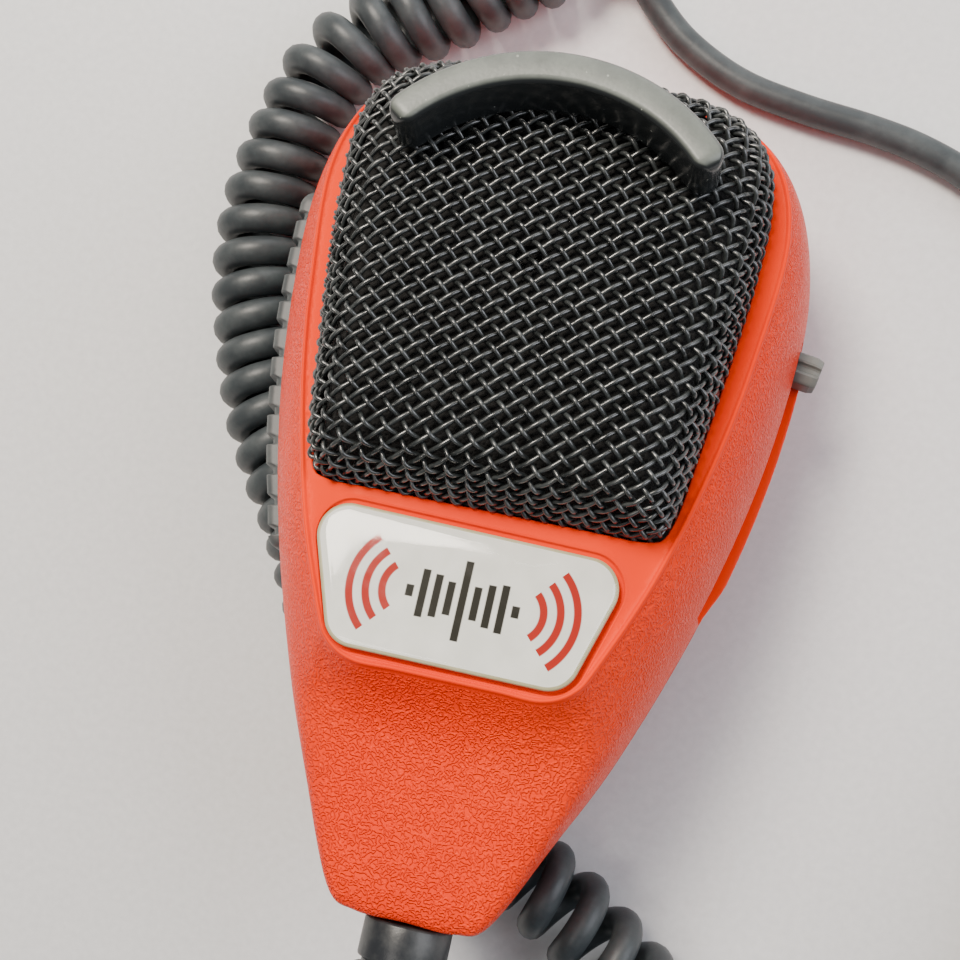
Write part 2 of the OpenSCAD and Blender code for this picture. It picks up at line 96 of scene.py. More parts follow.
# p resampled to count points at equal spacing
def even(p, count, closed=True):
    q = np.vstack([p, p[:1]]) if closed else np.asarray(p, float)
    s = np.concatenate([[0], np.cumsum(np.linalg.norm(np.diff(q, axis=0), axis=1))])
    at = np.linspace(0, s[-1], count, endpoint=not closed)
    return np.stack([np.interp(at, s, q[:, i]) for i in range(q.shape[1])], 1)


# the outline of a convex polygon, anticlockwise, grown and with round corners
def roundedOutline(corners, radius, grow=0.0, steps=14):
    c = np.array(corners, float)
    if sum(c[i - 1][0] * c[i][1] - c[i][0] * c[i - 1][1] for i in range(len(c))) < 0:
        c = c[::-1]
    out = []
    for i in range(len(c)):
        a, b, d = c[i - 1], c[i], c[(i + 1) % len(c)]
        u, v = (a - b) / np.linalg.norm(a - b), (d - b) / np.linalg.norm(d - b)
        half = math.acos(float(np.clip(u @ v, -1, 1))) / 2
        middle = b + (u + v) / np.linalg.norm(u + v) * radius / math.sin(half)
        first = math.atan2(u[0], -u[1])
        last = math.atan2(-v[0], v[1])
        while last < first:
            last += 2 * math.pi
        for f in np.linspace(0, 1, steps):
            w = first + (last - first) * f
            out.append(middle + (radius + grow) * np.array([math.cos(w), math.sin(w)]))
    return np.array(out)


# a finished piece: mesh, materials and the body that it rides on
def makePiece(name, verts, faces, materials, body, slot, replaces=(), faceMaterial=None, smooth=True):
    mesh = bpy.data.meshes.new(name)
    mesh.from_pydata([tuple(map(float, v)) for v in verts], [], [tuple(map(int, f)) for f in faces])
    mesh.validate()
    for m in materials:
        mesh.materials.append(m)
    if faceMaterial is not None:
        mesh.polygons.foreach_set("material_index", np.asarray(faceMaterial, np.int32))
    mesh.polygons.foreach_set("use_smooth", np.full(len(mesh.polygons), smooth))
    piece = bpy.data.objects.new(name, mesh)
    bpy.context.scene.collection.objects.link(piece)
    return claim(piece, body, slot, replaces)


# the piece's body, its slot, which is not used, and the CAD nodes it stands for
def claim(piece, body, slot, replaces=()):
    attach(piece, body)
    if replaces:
        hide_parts(*replaces)
    return piece


# quads between rows of points, closed round each row or open
def gridFaces(rows, cols, closed=True, flip=False):
    out = []
    for r in range(rows - 1):
        for c in range(cols if closed else cols - 1):
            d = (c + 1) % cols
            q = (r * cols + c, r * cols + d, (r + 1) * cols + d, (r + 1) * cols + c)
            out.append(q[::-1] if flip else q)
    return out


# vertices and faces of a profile of (radius, height) turned about z; zero radii close it
def lathe(profile, segments=64):
    profile = np.asarray(profile, float)
    w = np.linspace(0, 2 * math.pi, segments, endpoint=False)
    rings = [np.stack([r * np.cos(w), r * np.sin(w), np.full(segments, z)], 1) for r, z in profile]
    verts = np.concatenate(rings)
    return verts, gridFaces(len(profile), segments)


# a polyline of (radius, height) with its inner corners rounded
def roundedProfile(points, radius=0.25, steps=3):
    p = [np.array(q, float) for q in points]
    out = [p[0]]
    for a, b, c in zip(p, p[1:], p[2:]):
        la, lc = np.linalg.norm(a - b), np.linalg.norm(c - b)
        r = min(radius, la * 0.45, lc * 0.45)
        s, e = b + (a - b) / la * r, b + (c - b) / lc * r
        for f in np.linspace(0, 1, steps):
            out.append((1 - f) ** 2 * s + 2 * f * (1 - f) * b + f ** 2 * e)
    out.append(p[-1])
    return np.array(out)


# an sRGB hex colour as linear RGBA
def linear(hexColour, strength=1.0):
    parts = [int(hexColour[i:i + 2], 16) / 255 for i in (1, 3, 5)]
    return [strength * (c / 12.92 if c <= 0.04045 else ((c + 0.055) / 1.055) ** 2.4) for c in parts] + [1.0]


# adds a node with its settings; each input is a link where a socket is given, stops fill a colour ramp
def addNode(tree, kind, inputs=None, out=0, stops=(), **settings):
    node = tree.nodes.new(kind if kind.startswith(("Geometry", "Node")) else "ShaderNode" + kind)
    for key, value in settings.items():
        setattr(node, key, value)
    for key, value in (inputs or {}).items():
        if isinstance(value, bpy.types.NodeSocket):
            tree.links.new(value, node.inputs[key])
        else:
            node.inputs[key].default_value = value
    if stops:
        while len(node.color_ramp.elements) < len(stops):
            node.color_ramp.elements.new(0.5)
        for element, (position, colour) in zip(node.color_ramp.elements, stops):
            element.position = position
            element.color = colour
    return node if out is None else node.outputs[out]


def newMaterial(name):
    material = bpy.data.materials.new(name)
    material.use_nodes = True
    material.node_tree.nodes.clear()
    return material, material.node_tree


# object coordinates, turned into the housing's own axes where tilted
def objectPlace(tree, tilted=True):
    place = addNode(tree, "TexCoord", out="Object")
    if not tilted:
        return place
    moved = addNode(tree, "VectorMath", {0: place, 1: (0, lying["shift"] / 1000, lying["lift"] / 1000)},
                    operation="SUBTRACT")
    turned = addNode(tree, "VectorRotate", {"Vector": moved, "Axis": (1, 0, 0),
                                            "Angle": math.radians(lying["tilt"])})
    return turned


# injection-moulded ABS: worm-like mould grain 0.5 mm across breaks the highlights up where grain is
# over 0, and a clean satin sheen lies on it where grain is 0
def mouldedShell(name, grain):
    m, tree = newMaterial(name)
    place = objectPlace(tree)
    tint = addNode(tree, "TexNoise", {"Vector": place, "Scale": 45.0, "Detail": 3.0})
    colour = addNode(tree, "ValToRGB", {0: tint}, stops=[(0.3, linear("#F22E00")),
                                                         (0.7, linear("#FC3A00"))])
    rough = addNode(tree, "TexNoise", {"Vector": place, "Scale": 260.0, "Detail": 2.0})
    roughness = addNode(tree, "MapRange", {0: rough, 3: 0.3, 4: 0.42})
    worms = addNode(tree, "TexNoise", {"Vector": place, "Scale": 2150.0, "Detail": 0.0, "Distortion": 0.35})
    fine = addNode(tree, "TexNoise", {"Vector": place, "Scale": 2600.0, "Detail": 2.0})
    if grain > 0:
        valley = addNode(tree, "Math", {0: worms, 1: 0.5}, operation="SUBTRACT")
        valley = addNode(tree, "Math", {0: valley}, operation="ABSOLUTE")
        raised = addNode(tree, "MapRange", {0: valley, 1: 0.0, 2: 0.18, 3: 1.0, 4: 0.0},
                         interpolation_type="SMOOTHSTEP")
        height = addNode(tree, "Math", {0: fine, 1: 0.2}, operation="MULTIPLY")
        height = addNode(tree, "Math", {0: raised, 1: height}, operation="ADD")
        bump = addNode(tree, "Bump", {"Strength": grain, "Distance": 0.00017, "Height": height})
    else:
        bump = addNode(tree, "Bump", {"Strength": 0.25, "Distance": 0.00003, "Height": fine})
    shader = addNode(tree, "BsdfPrincipled", {"Base Color": colour, "Roughness": roughness, "IOR": 1.46,
                                              "Specular IOR Level": 0.3 if grain > 0 else 0.12,
                                              "Specular Tint": linear("#ffa27c"), "Normal": bump,
                                              "Subsurface Weight": 0.02,
                                              "Subsurface Radius": (0.0016, 0.0005, 0.0002)})
    addNode(tree, "OutputMaterial", {"Surface": shader}, out=None)
    return m


# moulded ABS or rubber: a dull highlight over mould texture 0.5 mm across, and paler clouds of
# handling dust about 5 mm across
def darkPlastic(name, colour, dusty, roughness=0.42, bumpSize=0.00004, tilted=True):
    m, tree = newMaterial(name)
    place = objectPlace(tree, tilted)
    cloud = addNode(tree, "TexNoise", {"Vector": place, "Scale": 180.0, "Detail": 5.0, "Roughness": 0.65})
    specks = addNode(tree, "TexNoise", {"Vector": place, "Scale": 1900.0, "Detail": 2.0})
    dust = addNode(tree, "ValToRGB", {0: cloud}, stops=[(0.42, (0, 0, 0, 1)), (0.72, (1, 1, 1, 1))])
    dust = addNode(tree, "Math", {0: dust, 1: 0.35}, operation="MULTIPLY")
    tone = addNode(tree, "Mix", {0: dust, 6: linear(colour), 7: linear(dusty)}, out=2, data_type="RGBA")
    gloss = addNode(tree, "MapRange", {0: cloud, 3: roughness - 0.06, 4: roughness + 0.12})
    bump = addNode(tree, "Bump", {"Strength": 0.5, "Distance": bumpSize, "Height": specks})
    shader = addNode(tree, "BsdfPrincipled", {"Base Color": tone, "Roughness": gloss, "IOR": 1.5,
                                              "Normal": bump})
    addNode(tree, "OutputMaterial", {"Surface": shader}, out=None)
    return m


# moulded rubber: dark and glossy on its sides; paler, rougher grey in patches where it faces up, which is
# painted light from above; white specks of dust 1 mm apart
def dustAndTopLightRubber():
    m, tree = newMaterial("rubber_dust_specks_painted_top_light")
    place = objectPlace(tree)
    facing = addNode(tree, "NewGeometry", out="Normal")
    up = addNode(tree, "VectorMath", {0: facing, 1: (0, lieSin, lieCos)}, out="Value",
                 operation="DOT_PRODUCT")
    cloud = addNode(tree, "TexNoise", {"Vector": place, "Scale": 210.0, "Detail": 6.0, "Roughness": 0.7})
    # painted light: paler, rougher grey where the rubber faces up, broken into patches
    paleTopMask = addNode(tree, "MapRange", {0: up, 1: 0.55, 2: 0.95}, interpolation_type="SMOOTHSTEP")
    patchy = addNode(tree, "MapRange", {0: cloud, 1: 0.3, 2: 0.7, 3: 0.55, 4: 0.95})
    paleTopMask = addNode(tree, "Math", {0: paleTopMask, 1: patchy}, operation="MULTIPLY")
    tone = addNode(tree, "Mix", {0: paleTopMask, 6: linear("#26292a"), 7: linear("#787e77")}, out=2,
                   data_type="RGBA")
    dots = addNode(tree, "TexVoronoi", {"Vector": place, "Scale": 900.0, "Randomness": 1.0}, out="Distance")
    sparse = addNode(tree, "TexNoise", {"Vector": place, "Scale": 500.0, "Detail": 3.0})
    size = addNode(tree, "MapRange", {0: sparse, 1: 0.5, 2: 0.75, 3: 0.0, 4: 0.24})
    specks = addNode(tree, "Math", {0: dots, 1: size}, operation="LESS_THAN")
    specks = addNode(tree, "Math", {0: specks, 1: 0.6}, operation="MULTIPLY")
    tone = addNode(tree, "Mix", {0: specks, 6: tone, 7: linear("#a7aca4")}, out=2, data_type="RGBA")
    gloss = addNode(tree, "MapRange", {0: paleTopMask, 3: 0.2, 4: 0.48})
    fine = addNode(tree, "TexNoise", {"Vector": place, "Scale": 2300.0, "Detail": 2.0})
    bump = addNode(tree, "Bump", {"Strength": 0.5, "Distance": 0.00004, "Height": fine})
    shader = addNode(tree, "BsdfPrincipled", {"Base Color": tone, "Roughness": gloss, "IOR": 1.52,
                                              "Normal": bump})
    addNode(tree, "OutputMaterial", {"Surface": shader}, out=None)
    return m


# plated or drawn metal: a sharp highlight, dulled by faint tarnish about 3 mm across
def plainMetal(name, colour, roughness, brushed=0.0):
    m, tree = newMaterial(name)
    place = objectPlace(tree, False)
    stains = addNode(tree, "TexNoise", {"Vector": place, "Scale": 300.0, "Detail": 4.0})
    tarnish = addNode(tree, "Math", {0: stains, 1: 0.3}, operation="MULTIPLY")
    tone = addNode(tree, "Mix", {0: tarnish, 6: linear(colour), 7: linear("#5f5b55")}, out=2,
                   data_type="RGBA")
    gloss = addNode(tree, "MapRange", {0: stains, 3: roughness - 0.06, 4: roughness + 0.1})
    lines = addNode(tree, "TexNoise", {"Vector": place, "Scale": 3000.0, "Detail": 2.0})
    bump = addNode(tree, "Bump", {"Strength": 0.2 + brushed, "Distance": 0.00001, "Height": lines})
    shader = addNode(tree, "BsdfPrincipled", {"Base Color": tone, "Metallic": 1.0, "Roughness": gloss,
                                              "Normal": bump})
    addNode(tree, "OutputMaterial", {"Surface": shader}, out=None)
    return m


# steel wire dipped in black paint: a thin glossy highlight along each wire, duller where dust lies
def coatedWire():
    m, tree = newMaterial("black_coated_wire")
    place = objectPlace(tree)
    wear = addNode(tree, "TexNoise", {"Vector": place, "Scale": 420.0, "Detail": 4.0})
    tone = addNode(tree, "ValToRGB", {0: wear}, stops=[(0.35, linear("#1b1e1e")),
                                                       (0.68, linear("#3a3e3e"))])
    gloss = addNode(tree, "MapRange", {0: wear, 3: 0.2, 4: 0.4})
    runs = addNode(tree, "TexNoise", {"Vector": place, "Scale": 2400.0})
    bump = addNode(tree, "Bump", {"Strength": 0.35, "Distance": 0.00003, "Height": runs})
    shader = addNode(tree, "BsdfPrincipled", {"Base Color": tone, "Roughness": gloss, "IOR": 1.55,
                                              "Specular IOR Level": 0.9, "Normal": bump})
    addNode(tree, "OutputMaterial", {"Surface": shader}, out=None)
    return m


# open-cell polyurethane foam: near black with no highlight, pores 0.5 mm across, drawn coarser than
# they are so that they show
def windFoam():
    m, tree = newMaterial("open_cell_foam")
    place = objectPlace(tree)
    cells = addNode(tree, "TexVoronoi", {"Vector": place, "Scale": 2100.0})
    tone = addNode(tree, "ValToRGB", {0: cells}, stops=[(0.1, linear("#020202")), (0.7, linear("#0d0d0d"))])
    bump = addNode(tree, "Bump", {"Strength": 1.0, "Distance": 0.0003, "Height": cells}, invert=True)
    shader = addNode(tree, "BsdfPrincipled", {"Base Color": tone, "Roughness": 0.95, "Normal": bump})
    addNode(tree, "OutputMaterial", {"Surface": shader}, out=None)
    return m


# 1 where |value| is under half, fading over soft
def nearLine(tree, value, half, soft=0.06):
    size = addNode(tree, "Math", {0: value}, operation="ABSOLUTE")
    return addNode(tree, "MapRange", {0: size, 1: half - soft, 2: half + soft, 3: 1.0, 4: 0.0})


# screen-printed aluminium: matt off-white with black level bars between red arcs, a drawing of sound
# going out
def badgePrint():
    m, tree = newMaterial("printed_aluminium_plate")
    place = objectPlace(tree)
    parts = addNode(tree, "SeparateXYZ", {0: place}, out=None)
    x = addNode(tree, "Math", {0: parts.outputs[0], 1: 1000.0}, operation="MULTIPLY")
    y = addNode(tree, "Math", {0: parts.outputs[1], 1: 1000.0}, operation="MULTIPLY")
    y = addNode(tree, "Math", {0: y, 1: -art["middle"]}, operation="ADD")
    acrossX = addNode(tree, "Math", {0: x}, operation="ABSOLUTE")
    acrossY = addNode(tree, "Math", {0: y}, operation="ABSOLUTE")
    # the bar each point is nearest to, and how far it is from that bar's middle
    cell = addNode(tree, "Math", {0: x, 1: art["barPitch"]}, operation="DIVIDE")
    cell = addNode(tree, "Math", {0: cell}, operation="ROUND")
    off = addNode(tree, "Math", {0: cell, 1: art["barPitch"]}, operation="MULTIPLY")
    off = addNode(tree, "Math", {0: x, 1: off}, operation="SUBTRACT")
    # bar heights: a wave that dies away to both sides
    wave = addNode(tree, "Math", {0: cell, 1: art["waveStep"]}, operation="MULTIPLY")
    wave = addNode(tree, "Math", {0: wave}, operation="COSINE")
    wave = addNode(tree, "Math", {0: wave}, operation="ABSOLUTE")
    fall = addNode(tree, "Math", {0: cell}, operation="ABSOLUTE")
    fall = addNode(tree, "Math", {0: fall, 1: art["waveFall"]}, operation="MULTIPLY")
    fall = addNode(tree, "Math", {0: 1.0, 1: fall}, operation="SUBTRACT")
    tall = addNode(tree, "Math", {0: wave, 1: fall}, operation="MULTIPLY")
    tall = addNode(tree, "Math", {0: tall, 1: art["barTall"]}, operation="MULTIPLY")
    tall = addNode(tree, "Math", {0: tall, 1: art["barLeast"]}, operation="ADD")
    over = addNode(tree, "Math", {0: acrossY, 1: tall}, operation="SUBTRACT")
    tallMask = addNode(tree, "MapRange", {0: over, 1: -0.05, 2: 0.05, 3: 1.0, 4: 0.0})
    bars = nearLine(tree, off, art["barWide"] / 2)
    bars = addNode(tree, "Math", {0: bars, 1: tallMask}, operation="MULTIPLY")
    counted = nearLine(tree, cell, art["barCount"] + 0.5)
    bars = addNode(tree, "Math", {0: bars, 1: counted}, operation="MULTIPLY")
    # arcs: rings round a point at each side, kept only where they open outward
    side = addNode(tree, "Math", {0: acrossX, 1: art["arcFrom"]}, operation="SUBTRACT")
    sideSquare = addNode(tree, "Math", {0: side, 1: side}, operation="MULTIPLY")
    ySquare = addNode(tree, "Math", {0: y, 1: y}, operation="MULTIPLY")
    reach = addNode(tree, "Math", {0: sideSquare, 1: ySquare}, operation="ADD")
    reach = addNode(tree, "Math", {0: reach}, operation="SQRT")
    rings = 0.0
    for radius in art["arcs"]:
        ring = addNode(tree, "Math", {0: reach, 1: radius}, operation="SUBTRACT")
        ring = nearLine(tree, ring, art["arcWide"] / 2)
        rings = addNode(tree, "Math", {0: rings, 1: ring}, operation="MAXIMUM")
    within = addNode(tree, "Math", {0: side, 1: art["arcOpen"]}, operation="MULTIPLY")
    within = addNode(tree, "Math", {0: within, 1: acrossY}, operation="SUBTRACT")
    within = addNode(tree, "Math", {0: within, 1: 0.0}, operation="GREATER_THAN")
    rings = addNode(tree, "Math", {0: rings, 1: within}, operation="MULTIPLY")
    worn = addNode(tree, "TexNoise", {"Vector": place, "Scale": 320.0, "Detail": 4.0})
    ground = addNode(tree, "ValToRGB", {0: worn}, stops=[(0.35, linear("#e9eae2")),
                                                         (0.7, linear("#f6f6ee"))])
    inked = addNode(tree, "Mix", {0: bars, 6: ground, 7: linear("#0b0c0e")}, out=2, data_type="RGBA")
    inked = addNode(tree, "Mix", {0: rings, 6: inked, 7: linear("#b00d06")}, out=2, data_type="RGBA")
    flake = addNode(tree, "TexNoise", {"Vector": place, "Scale": 4200.0})
    bump = addNode(tree, "Bump", {"Strength": 0.15, "Distance": 0.00001, "Height": flake})
    shader = addNode(tree, "BsdfPrincipled", {"Base Color": inked, "Roughness": 0.4,
                                              "Specular IOR Level": 0.1, "Normal": bump})
    addNode(tree, "OutputMaterial", {"Surface": shader}, out=None)
    return m


# poured polyurethane resin: clear, so that only its soft sheen shows over the print
def clearResin():
    m, tree = newMaterial("clear_domed_resin")
    place = objectPlace(tree)
    waves = addNode(tree, "TexNoise", {"Vector": place, "Scale": 110.0, "Detail": 1.0})
    bump = addNode(tree, "Bump", {"Strength": 0.12, "Distance": 0.0002, "Height": waves})
    scuffs = addNode(tree, "TexNoise", {"Vector": place, "Scale": 700.0, "Detail": 5.0})
    gloss = addNode(tree, "MapRange", {0: scuffs, 1: 0.45, 2: 0.8, 3: 0.06, 4: 0.16})
    shader = addNode(tree, "BsdfPrincipled", {"Base Color": linear("#6b6648"), "Roughness": gloss,
                                              "IOR": 2.2, "Specular IOR Level": 1.0, "Alpha": 0.12,
                                              "Normal": bump})
    addNode(tree, "OutputMaterial", {"Surface": shader}, out=None)
    return m


# painted board under the object: plain, pale and matt
def paleTable():
    m, tree = newMaterial("pale_table")
    place = objectPlace(tree, False)
    fine = addNode(tree, "TexNoise", {"Vector": place, "Scale": 900.0, "Detail": 3.0})
    tone = addNode(tree, "ValToRGB", {0: fine}, stops=[(0.3, linear("#dcddde")), (0.7, linear("#e4e5e6"))])
    shader = addNode(tree, "BsdfPrincipled", {"Base Color": tone, "Roughness": 0.7})
    addNode(tree, "OutputMaterial", {"Surface": shader}, out=None)
    return m


# fibreglass laminate under green lacquer: paler copper tracks about 1 mm apart show through
def boardLaminate():
    m, tree = newMaterial("lacquered_fibreglass_board")
    place = objectPlace(tree)
    lines = addNode(tree, "TexVoronoi", {"Vector": place, "Scale": 260.0}, out="Distance",
                    distance="MANHATTAN", feature="F1")
    fold = addNode(tree, "Math", {0: lines, 1: 4.0}, operation="MULTIPLY")
    fold = addNode(tree, "Math", {0: fold}, operation="FRACT")
    fold = addNode(tree, "Math", {0: fold, 1: 0.5}, operation="SUBTRACT")
    fold = addNode(tree, "Math", {0: fold}, operation="ABSOLUTE")
    tracks = addNode(tree, "MapRange", {0: fold, 1: 0.16, 2: 0.22, 3: 1.0, 4: 0.0})
    tone = addNode(tree, "Mix", {0: tracks, 6: linear("#1f4a2b"), 7: linear("#3f7a45")}, out=2,
                   data_type="RGBA")
    bump = addNode(tree, "Bump", {"Strength": 0.4, "Distance": 0.00004, "Height": tracks})
    shader = addNode(tree, "BsdfPrincipled", {"Base Color": tone, "Roughness": 0.3, "IOR": 1.5,
                                              "Normal": bump})
    addNode(tree, "OutputMaterial", {"Surface": shader}, out=None)
    return m


# enamel, sleeve or printed steel: colour bands across a part, by how far |axis| is past the middle
# in millimetres, from -10 to 10, scuffed grey in places
def bandedBody(name, axis, middle, stops):
    m, tree = newMaterial(name)
    place = objectPlace(tree)
    along = addNode(tree, "SeparateXYZ", {0: place}, out=axis)
    along = addNode(tree, "Math", {0: along}, operation="ABSOLUTE")
    past = addNode(tree, "Math", {0: along, 1: 1000.0}, operation="MULTIPLY")
    past = addNode(tree, "Math", {0: past, 1: middle}, operation="SUBTRACT")
    share = addNode(tree, "MapRange", {0: past, 1: -10.0, 2: 10.0})
    bands = addNode(tree, "ValToRGB", {0: share},
                    stops=[(0.5 + mm / 20, linear(colour)) for mm, colour in stops])
    wear = addNode(tree, "TexNoise", {"Vector": place, "Scale": 600.0, "Detail": 4.0})
    scuffs = addNode(tree, "Math", {0: wear, 1: 0.25}, operation="MULTIPLY")
    tone = addNode(tree, "Mix", {0: scuffs, 6: bands, 7: linear("#6e6a64")}, out=2, data_type="RGBA")
    gloss = addNode(tree, "MapRange", {0: wear, 3: 0.28, 4: 0.5})
    bump = addNode(tree, "Bump", {"Strength": 0.3, "Distance": 0.00002, "Height": wear})
    shader = addNode(tree, "BsdfPrincipled", {"Base Color": tone, "Roughness": gloss, "IOR": 1.5,
                                              "Normal": bump})
    addNode(tree, "OutputMaterial", {"Surface": shader}, out=None)
    return m


# the badge's print, in millimetres
art = {"middle": -16.6, "barPitch": 1.45, "barWide": 0.85, "barTall": 3.9, "barLeast": 0.45, "barCount": 4,
       "waveStep": 1.15, "waveFall": 0.14, "arcFrom": 5.6, "arcs": (3.2, 5.0, 6.8), "arcWide": 0.85,
       "arcOpen": 1.1}
badgeArt = badgePrint()    # off-white with the bars and arcs
resin = clearResin()    # the sheen over the badge
badgeEdge = darkPlastic("badge_edge_lacquer", "#b3ad84", "#dedbc6", 0.3)    # dull tan cut edge
jacketDark = darkPlastic("plug_boot_rubber", "#1d1f20", "#55585a", 0.5, tilted=False)
phenolic = darkPlastic("phenolic_resin", "#3b2417", "#6a4a35", 0.4, tilted=False)    # brown, dull
gold = plainMetal("plated_contact", "#cfa95a", 0.25)    # yellow, bright
laminate = boardLaminate()    # green with paler tracks
resistorEnamel = bandedBody("banded_enamel", 0, 5.55, [(-10, "#c9ab7d"), (-0.72, "#8a3b22"),
                                                       (-0.5, "#c9ab7d"), (-0.12, "#2a2a2c"),
                                                       (0.1, "#c9ab7d"), (0.45, "#c98f2e"),
                                                       (0.65, "#c9ab7d")])
sleeve = bandedBody("shrink_sleeve", 0, 9.0, [(-10, "#1c2a4a"), (2.9, "#cfd2d4"), (3.5, "#1c2a4a")])
cellJacket = bandedBody("printed_steel_jacket", 0, 10.0,
                        [(-10, "#2a2e33"), (-1.0, "#b88746"), (1.4, "#c9cacb")])
hookupWire = darkPlastic("hook_up_wire", "#8e2018", "#b8503f", 0.4)    # red, soft sheen
plungerRed = darkPlastic("acetal_plunger", "#8c1712", "#b4513f", 0.35)    # red, waxy
canAluminium = plainMetal("spun_aluminium", "#c9cbcc", 0.32)    # pale, silky
grained = mouldedShell("orange_grained_plastic", 0.92)    # leathery orange walls
satin = mouldedShell("orange_satin_plastic", 0.0)    # smooth orange panel and returns
wireCoat = coatedWire()    # black with thin highlights
foamBlack = windFoam()    # the dark behind the mesh
lipPlastic = dustAndTopLightRubber()    # dark sides, top paled with painted light from above, dust specks
barPlastic = darkPlastic("talk_bar_plastic", "#43484a", "#7f8381", 0.45)    # mid grey, dusty
leverPlastic = darkPlastic("lever_plastic", "#666864", "#9a9c96", 0.4)    # warm paler grey
cordJacket = darkPlastic("cord_jacket", "#353b3e", "#686f70", 0.42, tilted=False)    # grey, rubbed
reliefRubber = darkPlastic("strain_relief_rubber", "#23262a", "#6d706d", 0.34)    # dark, soft sheen
insideBlack = darkPlastic("inner_black_plastic", "#141415", "#3a3b3c", 0.5)    # black, matt
steel = plainMetal("plated_steel", "#b9b9b6", 0.3)    # grey, fairly bright
chrome = plainMetal("nickel_plating", "#c6c7c8", 0.16)    # bright, mirror-like
print("stage: materials made")


# wire diameter, helix radius and the room between turns, in millimetres
cord = {"wire": 3.9, "helix": 4.45, "gap": 0.12, "perTurn": 26, "sides": 14}
leadRoute = [(0, -60.5, 35.85), (0, -66.5, 36.6), (-0.5, -74, 36), (-1.5, -81, 32.5), (-3, -87.5, 26),
             (-4.5, -93, 18), (-4, -98, 10.5), (1, -101, 6.6)]
coilRoute = [(1, -101, 6.6), (12, -103.5, 6.6), (24, -102.5, 6.6), (35, -97.5, 6.6), (43.5, -89, 6.6),
             (48, -78, 6.6), (46.5, -66.5, 6.6), (39, -56.5, 6.6), (28.5, -49.5, 6.6), (16.5, -41, 6.6),
             (2, -33, 6.6), (-6, -27.5, 6.6), (-13.5, -20.5, 6.6), (-20.5, -11.5, 6.6), (-27, 0.8, 6.6),
             (-31.2, 7.5, 6.6), (-35.7, 15.7, 6.6), (-39.2, 26, 6.6), (-41.2, 34.5, 6.6), (-41.6, 43, 6.6),
             (-40.6, 50, 6.6), (-39, 56.7, 6.6), (-36.8, 62.5, 6.6), (-33, 67.4, 6.6), (-28, 71, 6.6),
             (-21.3, 75, 6.6), (-15.4, 79.3, 6.6), (-9.5, 82.6, 6.6), (-4, 84.5, 6.6)]
tailRoute = [(-4, 84.5, 6.6), (1, 84.2, 4.8), (4.5, 80.5, 2.8), (10, 75.5, 2.2), (18, 71.2, 2.2),
             (27, 69, 2.2), (36, 67.6, 2.2), (43, 66, 2.2), (50, 63.2, 2.2), (58.5, 58, 2.2),
             (67, 50.5, 2.2), (74, 41, 2.2), (79.5, 30, 2.6), (82.8, 19, 4.8), (84, 9, 8.2), (84, 1, 9.6)]


# the wire's centreline: the lead, the helix round the coil's route, and the tail
def cordLine():
    axis = even(spline(coilRoute, np.linspace(0, len(coilRoute) - 1.001, 1200)), 2400, closed=False)
    step = np.linalg.norm(axis[1] - axis[0])
    ahead = np.gradient(axis, axis=0)
    ahead /= np.linalg.norm(ahead, axis=1)[:, None]
    bend = np.linalg.norm(np.gradient(ahead, axis=0), axis=1) / step
    bend = np.convolve(np.pad(bend, 60, mode="edge"), np.ones(121) / 121, "valid")
    pitch = (cord["wire"] + cord["gap"]) / (1 - cord["helix"] * np.clip(bend, 0, 0.08))
    slack = 1.9 * np.exp(-((axis[:, 1] + 48) / 16) ** 2) * (axis[:, 0] > 0) * (axis[:, 0] < 45)
    pitch += np.convolve(np.pad(slack, 60, mode="edge"), np.ones(121) / 121, "valid")
    turn = np.concatenate([[0], np.cumsum(2 * math.pi * step / pitch[:-1])])
    up = np.array([0.0, 0.0, 1.0])
    side = np.cross(ahead, up)
    over = np.cross(side, ahead)
    count = int(turn[-1] / (2 * math.pi) * cord["perTurn"])
    at = np.linspace(0, turn[-1], count)
    pick = np.interp(at, turn, np.arange(len(axis)))
    take = lambda a: np.stack([np.interp(pick, np.arange(len(axis)), a[:, i]) for i in range(3)], 1)
    ease = np.clip(np.minimum(at, turn[-1] - at) / (2 * math.pi), 0, 1)
    ease = (ease * ease * (3 - 2 * ease))[:, None]
    start = math.radians(200)
    phase = (at + start)[:, None]
    # right-handed: it turns from over the axis to its right-hand side as it goes ahead
    curl = take(axis) + ease * cord["helix"] * (np.cos(phase) * take(over) + np.sin(phase) * take(side))
    lead = spline(leadRoute, np.linspace(0, len(leadRoute) - 1.001, 60))
    tail = spline(tailRoute, np.linspace(0, len(tailRoute) - 1.001, 130))
    path = np.vstack([lead[:-1], curl, tail[1:]])
    joints = [np.sum(np.linalg.norm(np.diff(path[:k], axis=0), axis=1))
              for k in (len(lead), len(lead) + len(curl) - 2)]
    length = np.sum(np.linalg.norm(np.diff(path, axis=0), axis=1))
    path = even(path, int(length / 0.9), closed=False)
    at = np.linspace(0, length, len(path))
    for _ in range(3):    # the joints are eased, so the wire doesn't kink where it starts to curl
        near = np.maximum.reduce([np.clip(1 - np.abs(at - j) / 13, 0, 1) for j in joints])[:, None]
        soft = np.stack([np.convolve(np.pad(path[:, i], 3, mode="edge"), np.ones(7) / 7, "valid")
                         for i in range(3)], 1)
        weight = near * near * (3 - 2 * near)
        path = path * (1 - weight) + soft * weight
    return path / 1000


